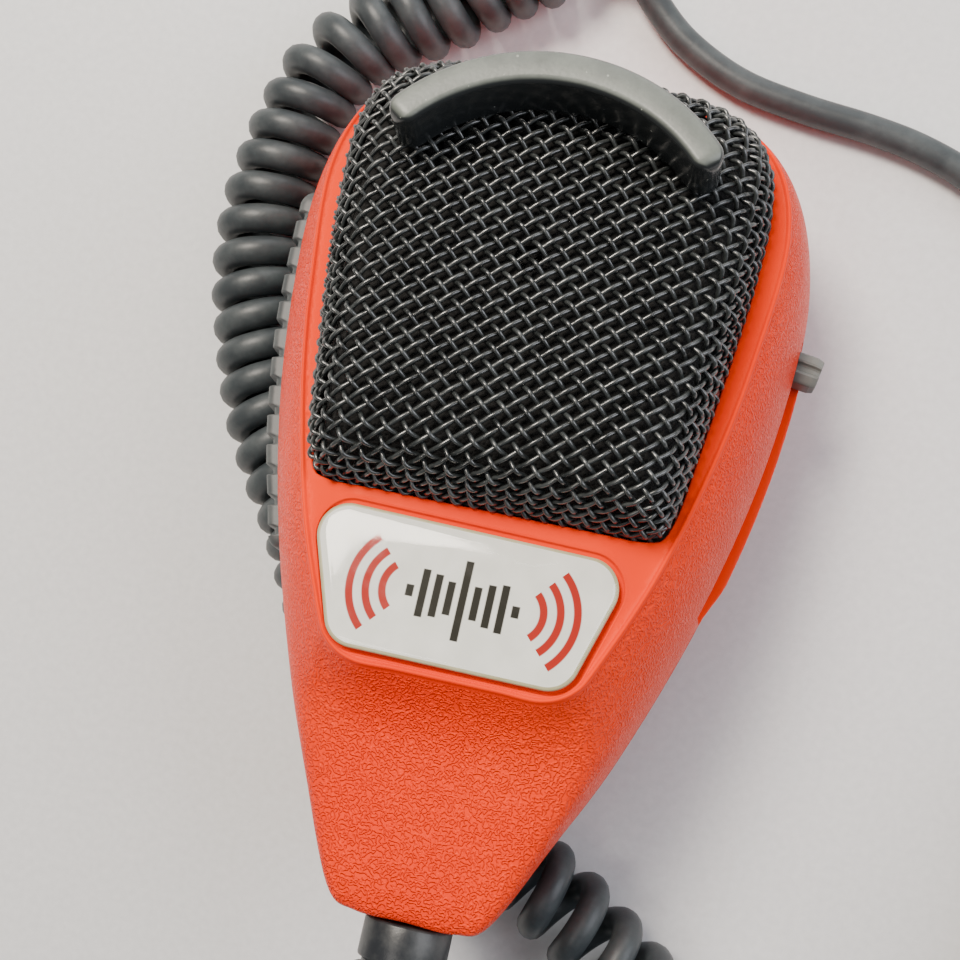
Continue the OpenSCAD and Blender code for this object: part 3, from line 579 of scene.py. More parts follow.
# geometry nodes: a round tube along every curve, with a set radius, side count and material
def tubeGroup():
    tree = bpy.data.node_groups.new("tube_along_curve", "GeometryNodeTree")
    sockets = [("Geometry", "Geometry", "INPUT"), ("Radius", "Float", "INPUT"), ("Sides", "Int", "INPUT"),
               ("Material", "Material", "INPUT"), ("Geometry", "Geometry", "OUTPUT")]
    for name, kind, way in sockets:
        tree.interface.new_socket(name, in_out=way, socket_type="NodeSocket" + kind)
    given = addNode(tree, "NodeGroupInput", out=None)
    ring = addNode(tree, "GeometryNodeCurvePrimitiveCircle",
                   {"Resolution": given.outputs["Sides"], "Radius": given.outputs["Radius"]})
    swept = addNode(tree, "GeometryNodeCurveToMesh", {"Curve": given.outputs["Geometry"],
                                                      "Profile Curve": ring, "Fill Caps": True})
    real = addNode(tree, "GeometryNodeRealizeInstances", {0: swept})
    painted = addNode(tree, "GeometryNodeSetMaterial", {0: real, "Material": given.outputs["Material"]})
    soft = addNode(tree, "GeometryNodeSetShadeSmooth", {0: painted})
    addNode(tree, "NodeGroupOutput", {0: soft}, out=None)
    return tree


tubeNodes = tubeGroup()


# a mesh object of round tubes along lines of points in metres
def tubes(name, lines, radius, sides, material):
    curve = bpy.data.curves.new(name, "CURVE")
    curve.dimensions = "3D"
    for line in lines:
        strand = curve.splines.new("POLY")
        strand.points.add(len(line) - 1)
        points = np.hstack([line, np.ones((len(line), 1))])
        strand.points.foreach_set("co", points.astype(np.float32).ravel())
    source = bpy.data.objects.new(name + "_line", curve)
    bpy.context.scene.collection.objects.link(source)
    modifier = source.modifiers.new("Tube", "NODES")
    modifier.node_group = tubeNodes
    for item in tubeNodes.interface.items_tree:
        if item.item_type == "SOCKET" and item.in_out == "INPUT" and item.name != "Geometry":
            modifier[item.identifier] = {"Radius": radius, "Sides": sides, "Material": material}[item.name]
    source.update_tag()
    graph = bpy.context.evaluated_depsgraph_get()
    mesh = bpy.data.meshes.new_from_object(source.evaluated_get(graph))
    mesh.name = name
    bpy.data.objects.remove(source)
    piece = bpy.data.objects.new(name, mesh)
    bpy.context.scene.collection.objects.link(piece)
    return piece


cordPath = cordLine()
curlyCord = tubes("curly_cord", [cordPath], cord["wire"] / 2000, cord["sides"], cordJacket)
claim(curlyCord, "housing", "cord_jacket", ("cord_lead", "cord_coil", "cord_tail"))


shell = {"columns": 14, "wallRows": 46, "slotTop": 14.5, "slotEnds": (-11.8, 23.7), "mouthTop": 15.3,
         "mouthEnds": (-14.3, 34.5), "edge": 0.22, "depth": 2.0, "sill": 0.8}
# the badge's recess: its raised rim as (outward, up) and its floor as (outward, down)
recess = {"corner": 3.5, "nudge": (0.18, 0.02), "floor": [(0.33, 0.32), (0.2, 0.38), (-1.5, 0.38)],
          "rim": [(0.68, 0.0), (0.61, 0.06), (0.53, 0.08), (0.46, 0.04), (0.4, -0.08), (0.37, -0.2)]}
rimLoop = loop(rimHalf)
ridgeLoop = loop(ridgeHalf)


def outlineAt(halfLoop, u):
    return spline(halfLoop, u, closed=True)


# where along the rim its right or left side passes y
def sideParameter(y, left):
    u = np.linspace(3, 10, 4001)
    at = float(np.interp(y, outlineAt(rimLoop, u)[:, 1], u))
    return len(rimLoop) - at if left else at


# column parameters round the rim, with columns exactly at the ends of both openings
def shellColumns():
    u = np.arange(len(rimLoop) * shell["columns"]) / shell["columns"]
    marks = {}
    for key, y, left in (("slot0", shell["slotEnds"][0], False), ("slot1", shell["slotEnds"][1], False),
                         ("mouth0", shell["mouthEnds"][0], True), ("mouth1", shell["mouthEnds"][1], True)):
        at = sideParameter(y, left)
        k = int(np.argmin(np.abs(u - at)))
        u[k] = at
        marks[key] = k
    return u, marks


# height of the front panel at plan points, from how far in from its edge they are
def crown(points):
    edge = outlineAt(ridgeLoop, np.arange(0, len(ridgeLoop), 0.02))
    d = np.min(np.linalg.norm(points[:, None, :] - edge[None], axis=2), axis=1)
    return 26.2 + 1.3 * np.sin(np.pi / 2 * np.clip((d - 0.66) / 6.5, 0, 1) ** 1.4)


# which plan points lie inside a closed outline
def inside(points, outline):
    x, y = points[:, 0][:, None], points[:, 1][:, None]
    a, b = outline, np.roll(outline, -1, 0)
    spans = (a[:, 1] > y) != (b[:, 1] > y)
    with np.errstate(divide="ignore", invalid="ignore"):
        cross = x < (b[:, 0] - a[:, 0]) * (y - a[:, 1]) / (b[:, 1] - a[:, 1]) + a[:, 0]
    return (spans & cross).sum(axis=1) % 2 == 1


# triangles between an outline and holes in it, with an even scatter of points between
def flatFill(outer, holes, spacing):
    loops = [outer] + holes
    points, edges = [], []
    for ring in loops:
        k = len(points)
        points += [Vector(p) for p in ring]
        edges += [(k + i, k + (i + 1) % len(ring)) for i in range(len(ring))]
    low, high = outer.min(0), outer.max(0)
    xs, ys = np.meshgrid(np.arange(low[0], high[0], spacing), np.arange(low[1], high[1], spacing))
    xs[::2] += spacing / 2
    grid = np.stack([xs.ravel(), ys.ravel()], 1)
    keep = inside(grid, outer)
    for ring in holes:
        keep &= ~inside(grid, ring)
    for ring in loops:
        keep &= np.min(np.linalg.norm(grid[:, None] - ring[None], axis=2), axis=1) > spacing * 0.55
    points += [Vector(p) for p in grid[keep]]
    verts, _, faces, *_ = delaunay_2d_cdt(points, edges, [], 0, 1e-5)
    verts = np.array([tuple(v) for v in verts])
    middle = np.array([verts[list(f)].mean(axis=0) for f in faces])
    good = inside(middle, outer)
    for ring in holes:
        good &= ~inside(middle, ring)
    return verts, [f for f, ok in zip(faces, good) if ok]


# vertices and faces gathered from several patches, with a material for each face
class Sheet:
    def __init__(self):
        self.verts, self.faces, self.marks, self.count = [], [], [], 0

    def add(self, verts, faces, mark=0):
        start = self.count
        self.verts.append(np.asarray(verts, float))
        self.faces += [tuple(i + start for i in f) for f in faces]
        self.marks += [mark] * len(faces) if np.isscalar(mark) else list(mark)
        self.count += len(verts)
        return start

    def points(self):
        return np.vstack(self.verts)


# the sheet as a mesh with doubles merged and the given edges rounded
def welded(sheet, roundEdges, radius, place=laid):
    b = bmesh.new()
    verts = [b.verts.new(v) for v in sheet.points()]
    for f, mark in zip(sheet.faces, sheet.marks):
        if len(set(f)) == len(f):
            try:
                b.faces.new([verts[i] for i in f]).material_index = mark
            except ValueError:
                pass
    picked = []
    for i, j in roundEdges:
        edge = b.edges.get((verts[i], verts[j]))
        if edge:
            picked.append(edge)
    if picked:
        bmesh.ops.bevel(b, geom=picked, offset=radius, segments=3, profile=0.5, affect="EDGES",
                        clamp_overlap=True)
    bmesh.ops.remove_doubles(b, verts=b.verts[:], dist=0.002)
    bmesh.ops.delete(b, geom=[v for v in b.verts if not v.link_faces], context="VERTS")
    b.verts.index_update()
    points = place([v.co[:] for v in b.verts])
    faces = [[v.index for v in f.verts] for f in b.faces]
    marks = [f.material_index for f in b.faces]
    b.free()
    return points, faces, marks


# walls going in from the open edge of a block; returns the edges to round
def reveal(sheet, grid, cols, block, depth, startIndex):
    r0, r1, c0, c1 = block
    path = [(r, c0) for r in range(r0, r1)] + [(r1, c) for c in range(c0, c1 + 1)] + \
        [(r, c1) for r in range(r1 - 1, r0 - 1, -1)]
    ring = [startIndex + r * cols + c for r, c in path]
    inward = []
    for r, c in path:
        t = grid[r, (c + 1) % cols] - grid[r, c - 1]
        n = np.array([-t[1], t[0], 0.0])
        inward.append(grid[r, c] + depth * n / np.linalg.norm(n))
    k = sheet.add(np.array(inward), [])
    for i in range(len(ring) - 1):
        sheet.faces.append((ring[i], k + i, k + i + 1, ring[i + 1]))
        sheet.marks.append(1)
    return list(zip(ring, ring[1:]))


# side walls, front panel with its raised edge, the badge's recess, the grille's opening, slot and mouth
def frontShell():
    u, marks = shellColumns()
    cols = len(u)
    rim, ridge = outlineAt(rimLoop, u), outlineAt(ridgeLoop, u)
    tail = np.clip((np.linalg.norm(rim - ridge, axis=1) - 8) / 12, 0, 1)
    tail = np.convolve(np.pad(tail, 10, mode="wrap"), np.ones(21) / 21, "valid")
    t = np.linspace(0, len(sideSteps) - 1, shell["wallRows"])
    heights = spline(sideSteps, np.clip(t, 0, 4.9999))[:, 1]
    levels = {}
    for key in ("slotTop", "mouthTop"):
        k = int(np.argmin(np.abs(heights - shell[key])))
        t[k] = np.interp(shell[key], heights, t)
        levels[key] = k
    side, back = (spline(steps, np.clip(t, 0, 4.99999)) for steps in (sideSteps, tailSteps))
    grid = []
    for d, z in ((2.0, 12.5), (2.0, 10.02), (0.3, 10.02), (0.1, 10.08), (0.02, 10.2)):
        ring = inset(rim, d)
        grid.append(np.column_stack([ring, np.full(cols, z)]))
    returnRows = len(grid)
    for k in range(len(t)):
        f = side[k, 0] + (back[k, 0] - side[k, 0]) * tail
        z = side[k, 1] + (back[k, 1] - side[k, 1]) * tail
        if k == 0:
            z = z + 0.32
        grid.append(np.column_stack([rim + (ridge - rim) * f[:, None], z]))
    for d, z in ((0.05, 26.22), (0.16, 26.44), (0.32, 26.52), (0.47, 26.45), (0.58, 26.27), (0.66, 26.2)):
        grid.append(np.column_stack([inset(ridge, d), np.full(cols, z)]))
    grid = np.array(grid)
    rows = len(grid)
    faces = gridFaces(rows, cols)
    satinFrom = rows - 8
    faceMarks = [1 if i // cols >= satinFrom or i // cols < returnRows else 0 for i in range(len(faces))]
    sheet = Sheet()
    slotBlock = (1, returnRows + levels["slotTop"], marks["slot0"], marks["slot1"])
    mouthBlock = (1, returnRows + levels["mouthTop"], marks["mouth1"], marks["mouth0"])
    inBlock = lambda i, b: b[0] <= i // cols < b[1] and b[2] <= i % cols < b[3]
    keep = [not (inBlock(i, slotBlock) or inBlock(i, mouthBlock)) for i in range(len(faces))]
    start = sheet.add(grid.reshape(-1, 3), [f for f, k in zip(faces, keep) if k],
                      [m for m, k in zip(faceMarks, keep) if k])
    edges = reveal(sheet, grid, cols, slotBlock, shell["depth"], start)
    edges += reveal(sheet, grid, cols, mouthBlock, shell["depth"], start)
    opening = even(inset(outlineAt(loop(grilleHalf), np.arange(0, 22, 0.1)), -0.2), 260)
    nudge = np.array(recess["nudge"])
    recessRing = roundedOutline(badgeCorners, recess["corner"], recess["rim"][0][0]) + nudge
    verts, fill = flatFill(inset(ridge, 0.66), [opening, recessRing], 0.6)
    z = crown(verts)
    edgeRing = inset(ridge, 0.66)
    near = np.min(np.linalg.norm(verts[:, None] - edgeRing[None], axis=2), axis=1) < 1e-4
    z[near] = 26.2
    sheet.add(np.column_stack([verts, z]), fill, 1)
    badgeRows = []
    lipHeight = crown(recessRing)
    for grow, rise in recess["rim"]:
        ring = roundedOutline(badgeCorners, recess["corner"], grow) + nudge
        badgeRows.append(np.column_stack([ring, lipHeight + rise]))
    for grow, drop in recess["floor"]:
        badgeRows.append(np.column_stack([roundedOutline(badgeCorners, recess["corner"], grow) + nudge,
                                          lipHeight - drop]))
    sheet.add(np.vstack(badgeRows), gridFaces(len(badgeRows), len(recessRing)), 1)
    lipRows = []
    openHeight = crown(opening)
    for d, drop in ((0.0, 0.0), (0.1, -0.03), (0.17, -0.12), (0.2, -0.3), (0.2, -2.0)):
        lipRows.append(np.column_stack([inset(opening, d), openHeight + drop]))
    sheet.add(np.vstack(lipRows), gridFaces(len(lipRows), len(opening)), 1)
    points, faces, faceMarks = welded(sheet, edges, shell["edge"])
    return makePiece("front_shell_body", points, faces, [grained, satin], "housing", "orange_shell",
                     ("front_shell",), faceMarks)


screwCups = {"at": [(20.5, 38.5), (-20.5, 38.5), (0, -27.5)],
             "wall": [(2.9, 0.0), (2.72, 0.05), (2.62, 0.2), (2.6, 2.0), (1.0, 2.0)]}


# the shallow back with its screw cups and the sill under the slot
def rearShell():
    u, marks = shellColumns()
    cols = len(u)
    rim = outlineAt(rimLoop, u)
    t = np.linspace(0, 4, 30)
    mouthLow = 4.6
    steps = spline(backSteps, np.clip(t, 0, 3.99999))
    k = int(np.argmin(np.abs(steps[:, 1] - mouthLow)))
    t[k] = np.interp(-mouthLow, -steps[:, 1], t)
    steps = spline(backSteps, np.clip(t, 0, 3.99999))
    grid = []
    for d, z in ((2.0, 7.0), (2.0, 9.98), (0.3, 9.98), (0.1, 9.92), (0.02, 9.8)):
        grid.append(np.column_stack([inset(rim, d), np.full(cols, z)]))
    returnRows = len(grid)
    sill = np.clip((rim[:, 1] - shell["slotEnds"][0]) / 6, 0, 1)
    sill = sill * np.clip((shell["slotEnds"][1] - rim[:, 1]) / 2.5, 0, 1)
    sill = shell["sill"] * np.where(rim[:, 0] > 0, sill * sill * (3 - 2 * sill), 0)
    for row, rise in ((2, 0.42), (3, 0.3), (4, 0.0)):
        grid[row][:, :2] -= sill[:, None] * (inset(rim, 1.0) - rim)
        grid[row][:, 2] += sill * rise
    for i, (f, z) in enumerate(steps):
        ring = np.column_stack([rim[:, 0] * (1 - 0.16 * f), rim[:, 1] + (3 - rim[:, 1]) * 0.1 * f])
        ring = ring - (sill * max(0, 1 - 6 * f))[:, None] * (inset(rim, 1.0) - rim)
        grid.append(np.column_stack([ring, np.full(cols, z - (0.35 if i == 0 else 0))]))
    grid = np.array(grid)
    rows = len(grid)
    faces = gridFaces(rows, cols, flip=True)
    block = (1, returnRows + k, marks["mouth1"], marks["mouth0"])
    inBlock = lambda i: block[0] <= i // cols < block[1] and block[2] <= i % cols < block[3]
    keep = [not inBlock(i) for i in range(len(faces))]
    sheet = Sheet()
    start = sheet.add(grid.reshape(-1, 3), [f for f, ok in zip(faces, keep) if ok],
                      [1 if i // cols < returnRows else 0 for i, ok in enumerate(keep) if ok])
    edges = reveal(sheet, grid, cols, block, shell["depth"], start)
    w = np.linspace(0, 2 * math.pi, 40, endpoint=False)
    holes = []
    for x, y in screwCups["at"]:
        wide = screwCups["wall"][0][0]
        circle = np.column_stack([x + wide * np.cos(w), y + wide * np.sin(w)])
        holes.append(circle)
        cup = []
        for r, z in screwCups["wall"]:
            cup.append(np.column_stack([x + r * np.cos(w), y + r * np.sin(w), np.full(len(w), z)]))
        sheet.add(np.vstack(cup), gridFaces(len(cup), len(w)), 1)
    verts, fill = flatFill(grid[-1][:, :2], holes, 2.5)
    sheet.add(np.column_stack([verts, np.zeros(len(verts))]), [f[::-1] for f in fill], 0)
    points, faces, faceMarks = welded(sheet, edges, shell["edge"])
    return makePiece("rear_shell_body", points, faces, [grained, satin], "housing", "orange_shell",
                     ("rear_shell",), faceMarks)


frontShell()
rearShell()
print("stage: shells made")


weave = {"middle": (0, 19), "wire": 0.52, "pitch": 1.5, "slant": 40.0, "lift": (0.13, 0.43), "deep": 0.45,
         "samples": 6, "lowest": 25.7}


# table over angle and distance along the sheet: how far out and how high the grille's sheet is there
def grilleMap(deep):
    outline = inset(outlineAt(loop(grilleHalf), np.arange(0, 22, 0.05)), deep) - weave["middle"]
    angle = np.arctan2(outline[:, 1], outline[:, 0])
    order = np.argsort(angle)
    angles = np.linspace(-math.pi, math.pi, 721)
    reach = np.interp(angles, angle[order], np.linalg.norm(outline, axis=1)[order], period=2 * math.pi)
    reach = np.convolve(np.pad(reach[:-1], 6, mode="wrap"), np.ones(13) / 13, "valid")
    reach = np.append(reach, reach[0])
    steps = spline(grilleSteps[1:], np.linspace(0, len(grilleSteps) - 2.0001, 120))[::-1]
    share = np.concatenate([np.linspace(0, 0.5, 40, endpoint=False), 1 - 0.5 * steps[:, 0], [1.0]])
    high = np.concatenate([37.95 - 0.15 * np.linspace(0, 1, 40, endpoint=False) ** 2, steps[:, 1],
                           [25.0]]) - deep
    along = np.arange(0, 48, 0.1)
    table = np.zeros((len(angles), len(along), 2))
    for k, r in enumerate(reach):
        out = share * r
        run = np.concatenate([[0], np.cumsum(np.hypot(np.diff(out), np.diff(high)))])
        table[k, :, 0] = np.interp(along, run, out)
        table[k, :, 1] = np.interp(along, run, high, right=20.0)
    return table


# sheet points laid over the grille's form, raised along its normal
def onGrille(table, flat, rise=0.0):
    flat = np.asarray(flat, float)
    angle, along = np.arctan2(flat[:, 1], flat[:, 0]), np.linalg.norm(flat, axis=1)
    a = (angle + math.pi) / (2 * math.pi) * 720
    b = np.clip(along / 0.1, 0, table.shape[1] - 2.001)
    i, j = np.floor(a).astype(int), np.floor(b).astype(int)
    i = np.clip(i, 0, 719)
    fa, fb = (a - i)[:, None], (b - j)[:, None]
    near, far = (table[i, j] * (1 - fb) + table[i, j + 1] * fb,
                 table[i + 1, j] * (1 - fb) + table[i + 1, j + 1] * fb)
    at = near * (1 - fa) + far * fa
    j0, j1 = np.clip(j - 3, 0, None), np.clip(j + 4, None, table.shape[1] - 1)
    slope = table[i, j1] - table[i, j0]
    slope /= np.linalg.norm(slope, axis=1)[:, None] + 1e-9
    out = at[:, 0] - slope[:, 1] * rise
    high = at[:, 1] + slope[:, 0] * rise
    return np.column_stack([weave["middle"][0] + out * np.cos(angle),
                            weave["middle"][1] + out * np.sin(angle), high])


# centre lines of one family of wires, crossing over and under the other
def wovenLines(family):
    sign = 1 if family == 0 else -1
    slant = math.radians(weave["slant"])
    way = np.array([math.cos(slant), sign * math.sin(slant)])
    other = np.array([math.cos(slant), -sign * math.sin(slant)])
    step = weave["pitch"] / math.sin(2 * slant)
    table = grilleMap(weave["deep"])
    lines = []
    for k in range(-44, 45):
        a = np.arange(-44, 44, 1 / weave["samples"])
        flat = a[:, None] * step * way + k * step * other
        keep = np.linalg.norm(flat, axis=1) < 47
        a, flat = a[keep], flat[keep]
        if len(a) < 4:
            continue
        wave = np.cos(math.pi * (a + k))
        wave = np.sign(wave) * np.abs(wave) ** 0.8
        rise = (1 if family == 0 else -1) * weave["lift"][family] * wave
        line = onGrille(table, flat, rise)
        shownPart = line[:, 2] > weave["lowest"]
        ends = np.flatnonzero(np.diff(np.concatenate([[0], shownPart.astype(int), [0]])))
        for first, last in zip(ends[::2], ends[1::2]):
            if last - first > 3:
                lines.append(laid(line[first:last]))
    return lines


# two families of wires, each one piece
def wovenGrille():
    for family in (0, 1):
        piece = tubes("grille_wires_" + "ab"[family], wovenLines(family), weave["wire"] / 2000, 6, wireCoat)
        claim(piece, "housing", "black_mesh", ("grille_mesh",))


foam = {"under": 1.45, "rimUnder": 0.45, "rimHeight": 27.8, "lowest": 25.2, "from": 1.5, "reach": 44.0,
        "ringStep": 1.0, "count": 96, "uneven": 0.12, "seed": 4}


# foam pressed against the inside of the mesh, a little uneven
def foamSkin():
    table = grilleMap(foam["under"])
    verts = [onGrille(table, [(0.001, 0)])]
    rng = np.random.default_rng(foam["seed"])
    count = foam["count"]
    w = np.linspace(-math.pi, math.pi, count, endpoint=False)
    for d in np.arange(foam["from"], foam["reach"], foam["ringStep"]):
        flat = d * np.column_stack([np.cos(w), np.sin(w)])
        verts.append(onGrille(table, flat, rng.uniform(-foam["uneven"], foam["uneven"], count)))
    rimFlat = foam["reach"] * np.column_stack([np.cos(w), np.sin(w)])
    edge = onGrille(grilleMap(foam["rimUnder"]), rimFlat)
    edge[:, 2] = foam["rimHeight"]
    verts.append(edge)
    rows = len(verts) - 1
    verts = np.vstack(verts)
    verts[:, 2] = np.maximum(verts[:, 2], foam["lowest"])
    faces = [(0, 1 + k, 1 + (k + 1) % count) for k in range(count)]
    faces += [tuple(i + 1 for i in q[::-1]) for q in gridFaces(rows, count)]
    faces = [f if n < count else f[::-1] for n, f in enumerate(faces)]
    return makePiece("wind_foam", laid(verts), faces, [foamBlack], "housing", "foam", ("grille_foam",))


wovenGrille()
foamSkin()
print("stage: grille woven")


lip = {"middle": (0.6, 16.4), "radius": 20.9, "half": 1.85, "spread": 48.0, "low": 37.95, "high": 44.1,
       "round": 0.75}


# an arch of round-edged strip with rounded ends that fall a little
def lipRest():
    spread = math.radians(lip["spread"])
    arc = lip["radius"] * spread
    stations = [(s, 1.0, 0.0) for s in np.linspace(-arc, arc, 90)]
    rounds = [(arc + 1.8 * math.sin(f), math.cos(f), 1.9 * (1 - math.cos(f)) ** 1.3)
              for f in np.linspace(0.12, 1.45, 12)]
    stations = [(-s, w, drop) for s, w, drop in rounds[::-1]] + stations + rounds
    corner = lip["round"]
    section = []
    for x, z, a0 in ((1, 1, 0), (-1, 1, 90), (-1, 0, 180), (1, 0, 270)):
        for f in np.linspace(0, 90, 7):
            w = math.radians(a0 + f)
            r = corner if z else 0.15
            section.append((x, z, r * math.cos(w) - x * r, r * math.sin(w) - (r if z else -r)))
    rings = []
    for s, wide, drop in stations:
        w = math.pi / 2 + s / lip["radius"]
        soft = 1 - 0.04 * (s / arc) ** 2
        ring = []
        for x, z, dx, dz in section:
            across = (x * lip["half"] + dx) * max(wide, 0.06) * soft
            crownDrop = 0.22 * (across / lip["half"]) ** 2 if z else 0
            up = (lip["high"] - drop - crownDrop if z else lip["low"]) + dz
            r = lip["radius"] + across
            ring.append((lip["middle"][0] + r * math.cos(w), lip["middle"][1] + r * math.sin(w), up))
        rings.append(ring)
    n = len(section)
    faces = gridFaces(len(rings), n)
    faces += [tuple(range(n))[::-1], tuple((len(rings) - 1) * n + i for i in range(n))]
    piece = makePiece("lip_rest_arch", laid(np.vstack(rings)), [f[::-1] for f in faces], [lipPlastic],
                      "housing", "lip_rest", ("lip_rest",))
    return piece


lipRest()
print("stage: lip rest made")


bar = {"outer": [(-26.2, -13.6), (-27.4, -9), (-29.5, -1.8), (-31.2, 6), (-32.6, 15), (-33.3, 25),
                 (-33.5, 32)],
       "inner": [(-23.8, -13), (-24.6, -9), (-26.3, -1.8), (-28, 6), (-29.5, 15), (-30.2, 25),
                 (-30.4, 32.6)],
       "low": 5.0, "high": 14.9, "round": 1.1, "first": 28.5, "pitch": 3.65, "count": 12, "wide": 1.1,
       "deep": 0.9}


# a curved bar with grooves across its outer face and rounded ends
def talkBar():
    outer, inner = np.array(bar["outer"]), np.array(bar["inner"])
    t = np.linspace(0, 6, 520)
    o, i = spline(outer, np.clip(t, 0, 5.9999)), spline(inner, np.clip(t, 0, 5.9999))
    y = o[:, 1]
    depth = np.zeros(len(t))
    for k in range(bar["count"]):
        d = np.abs(y - (bar["first"] - k * bar["pitch"]))
        depth = np.maximum(depth, bar["deep"] * np.clip((bar["wide"] / 2 + 0.14 - d) / 0.28, 0, 1))
    head = np.clip((y - 30.2) / 1.8, 0, 1)
    foot = np.clip((-11.9 - y) / 1.7, 0, 1)
    endShrink = 1 - np.sqrt(np.clip(1 - np.maximum(head, foot) ** 2, 0.02, 1))
    section = []
    for side, z, a0 in ((0, 0, 180), (1, 0, 270), (1, 1, 0), (0, 1, 90)):
        r = bar["round"] if side == 0 else 0.35
        for f in np.linspace(0, 90, 8):
            w = math.radians(a0 + f)
            section.append((side, z, r + r * math.cos(w) if side == 0 else -r + r * math.cos(w),
                            r + r * math.sin(w) if z == 0 else -r + r * math.sin(w)))
    rings = []
    for k in range(len(t)):
        across = i[k] - o[k]
        wide = np.linalg.norm(across)
        unit = across / wide
        ring = []
        for side, z, dx, dz in section:
            shift = depth[k] if side == 0 else 0.0
            at = (shift + dx if side == 0 else wide + dx)
            at = wide * 0.5 + (at - wide * 0.5) * (1 - 0.8 * endShrink[k])
            height = (bar["low"] if z == 0 else bar["high"]) + dz
            height = 9.95 + (height - 9.95) * (1 - 0.25 * endShrink[k])
            p = o[k] + unit * at
            ring.append((p[0], p[1], height))
        rings.append(ring)
    n = len(section)
    faces = gridFaces(len(rings), n)
    faces += [tuple(range(n))[::-1], tuple((len(rings) - 1) * n + j for j in range(n))]
    return makePiece("talk_bar_grip", laid(np.vstack(rings)), [f[::-1] for f in faces], [barPlastic],
                     "talk_bar", "grey_plastic", ("talk_bar",))


talkBar()
print("stage: talk bar made")


lever = {"slot": (28.9, 6, 12.25), "slant": -10.4, "y": 15.0,
         "stations": [(-6.8, 0.42), (-1.3, 0.42), (-1.2, 0.94), (-1.1, 1.0), (-0.4, 1.0), (1.5, 1.0),
                      (1.9, 0.99), (2.0, 0.97), (2.48, 0.9), (2.58, 0.84), (2.6, 0.3)],
         "section": [(-1.9, -1.3), (-1.7, -1.75), (0, -1.8), (1.7, -1.75), (1.9, -1.3), (1.9, 0),
                     (1.88, 1.2), (1.8, 1.45), (1.6, 1.6), (0.85, 1.72), (0.6, 1.66), (0.42, 1.3),
                     (0.2, 1.16), (-0.2, 1.16), (-0.42, 1.3), (-0.6, 1.66), (-0.85, 1.72), (-1.6, 1.3),
                     (-1.8, 1.15), (-1.9, 0.9), (-1.9, 0)]}


# a knob with a groove along its top and a chamfered end, on a thin stem
def gainLever():
    section = lever["section"]
    rings = []
    for x, share in lever["stations"]:
        rings.append([(x, lever["y"] + y * share, z * share) for y, z in section])
    n = len(section)
    faces = gridFaces(len(rings), n)
    faces += [tuple(range(n))[::-1], tuple((len(rings) - 1) * n + j for j in range(n))]
    w = math.radians(lever["slant"])
    p = np.vstack(rings)
    # the slot's own axes: x outward, y to the head
    turned = np.column_stack([p[:, 0] * math.cos(w) - p[:, 1] * math.sin(w),
                              p[:, 0] * math.sin(w) + p[:, 1] * math.cos(w), p[:, 2]])
    return makePiece("gain_lever_knob", laid(turned + lever["slot"]), faces, [leverPlastic], "gain_lever",
                     "grey_plastic", ("gain_lever",), smooth=False)


gainLever()
print("stage: lever made")


badge = {"corner": 3.5, "spacing": 2.0, "plateEdge": [(-0.1, 25.9), (0.0, 26.0), (0.0, 26.95),
                                                      (-0.05, 27.1), (-0.15, 27.18), (-0.4, 27.19)],
         "coverLow": 27.22, "coverRise": 0.58, "coverRound": 1.5, "coverGap": 0.02, "coverTop": 27.8,
         "coverCrown": 0.05}


def badgePlate():
    rows = []
    for grow, z in badge["plateEdge"]:
        ring = roundedOutline(badgeCorners, badge["corner"], grow)
        rows.append(np.column_stack([ring, np.full(len(ring), z)]))
    n = len(rows[0])
    verts, fill = flatFill(rows[-1][:, :2], [], badge["spacing"])
    sheet = Sheet()
    faces = gridFaces(len(rows), n)
    sheet.add(np.vstack(rows), faces, [1] * len(faces))
    sheet.add(np.column_stack([verts, np.full(len(verts), badge["plateEdge"][-1][1])]), fill, 0)
    points, faces, marks = welded(sheet, [], 0)
    return makePiece("badge_art_plate", points, faces, [badgeArt, badgeEdge], "housing", "badge_plate",
                     ("badge_plate",), marks)


def badgeCover():
    rows = []
    for f in np.linspace(0, 1, 9):
        w = f * math.pi / 2
        grow = -badge["coverRound"] * (1 - math.cos(w))
        ring = roundedOutline(badgeCorners, badge["corner"], grow - badge["coverGap"])
        height = badge["coverLow"] + badge["coverRise"] * math.sin(w)
        rows.append(np.column_stack([ring, np.full(len(ring), height)]))
    n = len(rows[0])
    verts, fill = flatFill(rows[-1][:, :2], [], badge["spacing"])
    edge = rows[-1][:, :2]
    d = np.min(np.linalg.norm(verts[:, None] - edge[None], axis=2), axis=1)
    sheet = Sheet()
    sheet.add(np.vstack(rows), gridFaces(len(rows), n))
    crowned = badge["coverTop"] + badge["coverCrown"] * np.clip(d / 4, 0, 1)
    sheet.add(np.column_stack([verts, crowned]), fill)
    points, faces, marks = welded(sheet, [], 0)
    return makePiece("badge_clear_cover", points, faces, [resin], "housing", "badge_dome", ("badge_dome",),
                     marks)


badgePlate()
badgeCover()
print("stage: badge made")


# a closed profile turned about its axis and placed
def turned(name, profile, place, materials, body, slot, replaces, segments=72, radius=0.25, wobble=None):
    profile = roundedProfile(profile, radius)
    verts, faces = lathe(profile, segments)
    if wobble is not None:
        w = np.arctan2(verts[:, 1], verts[:, 0])
        verts = wobble(verts, w)
    return makePiece(name, place(verts), faces, materials, body, slot, replaces)


def alongTail(points):
    p = np.asarray(points, float)
    return laid(np.column_stack([p[:, 0], -51.5 - p[:, 2], 10 + p[:, 1]]))


def alongPlug(points):
    p = np.asarray(points, float)
    return np.column_stack([84 + p[:, 0], 1 - p[:, 2], 9.6 + p[:, 1]]) / 1000


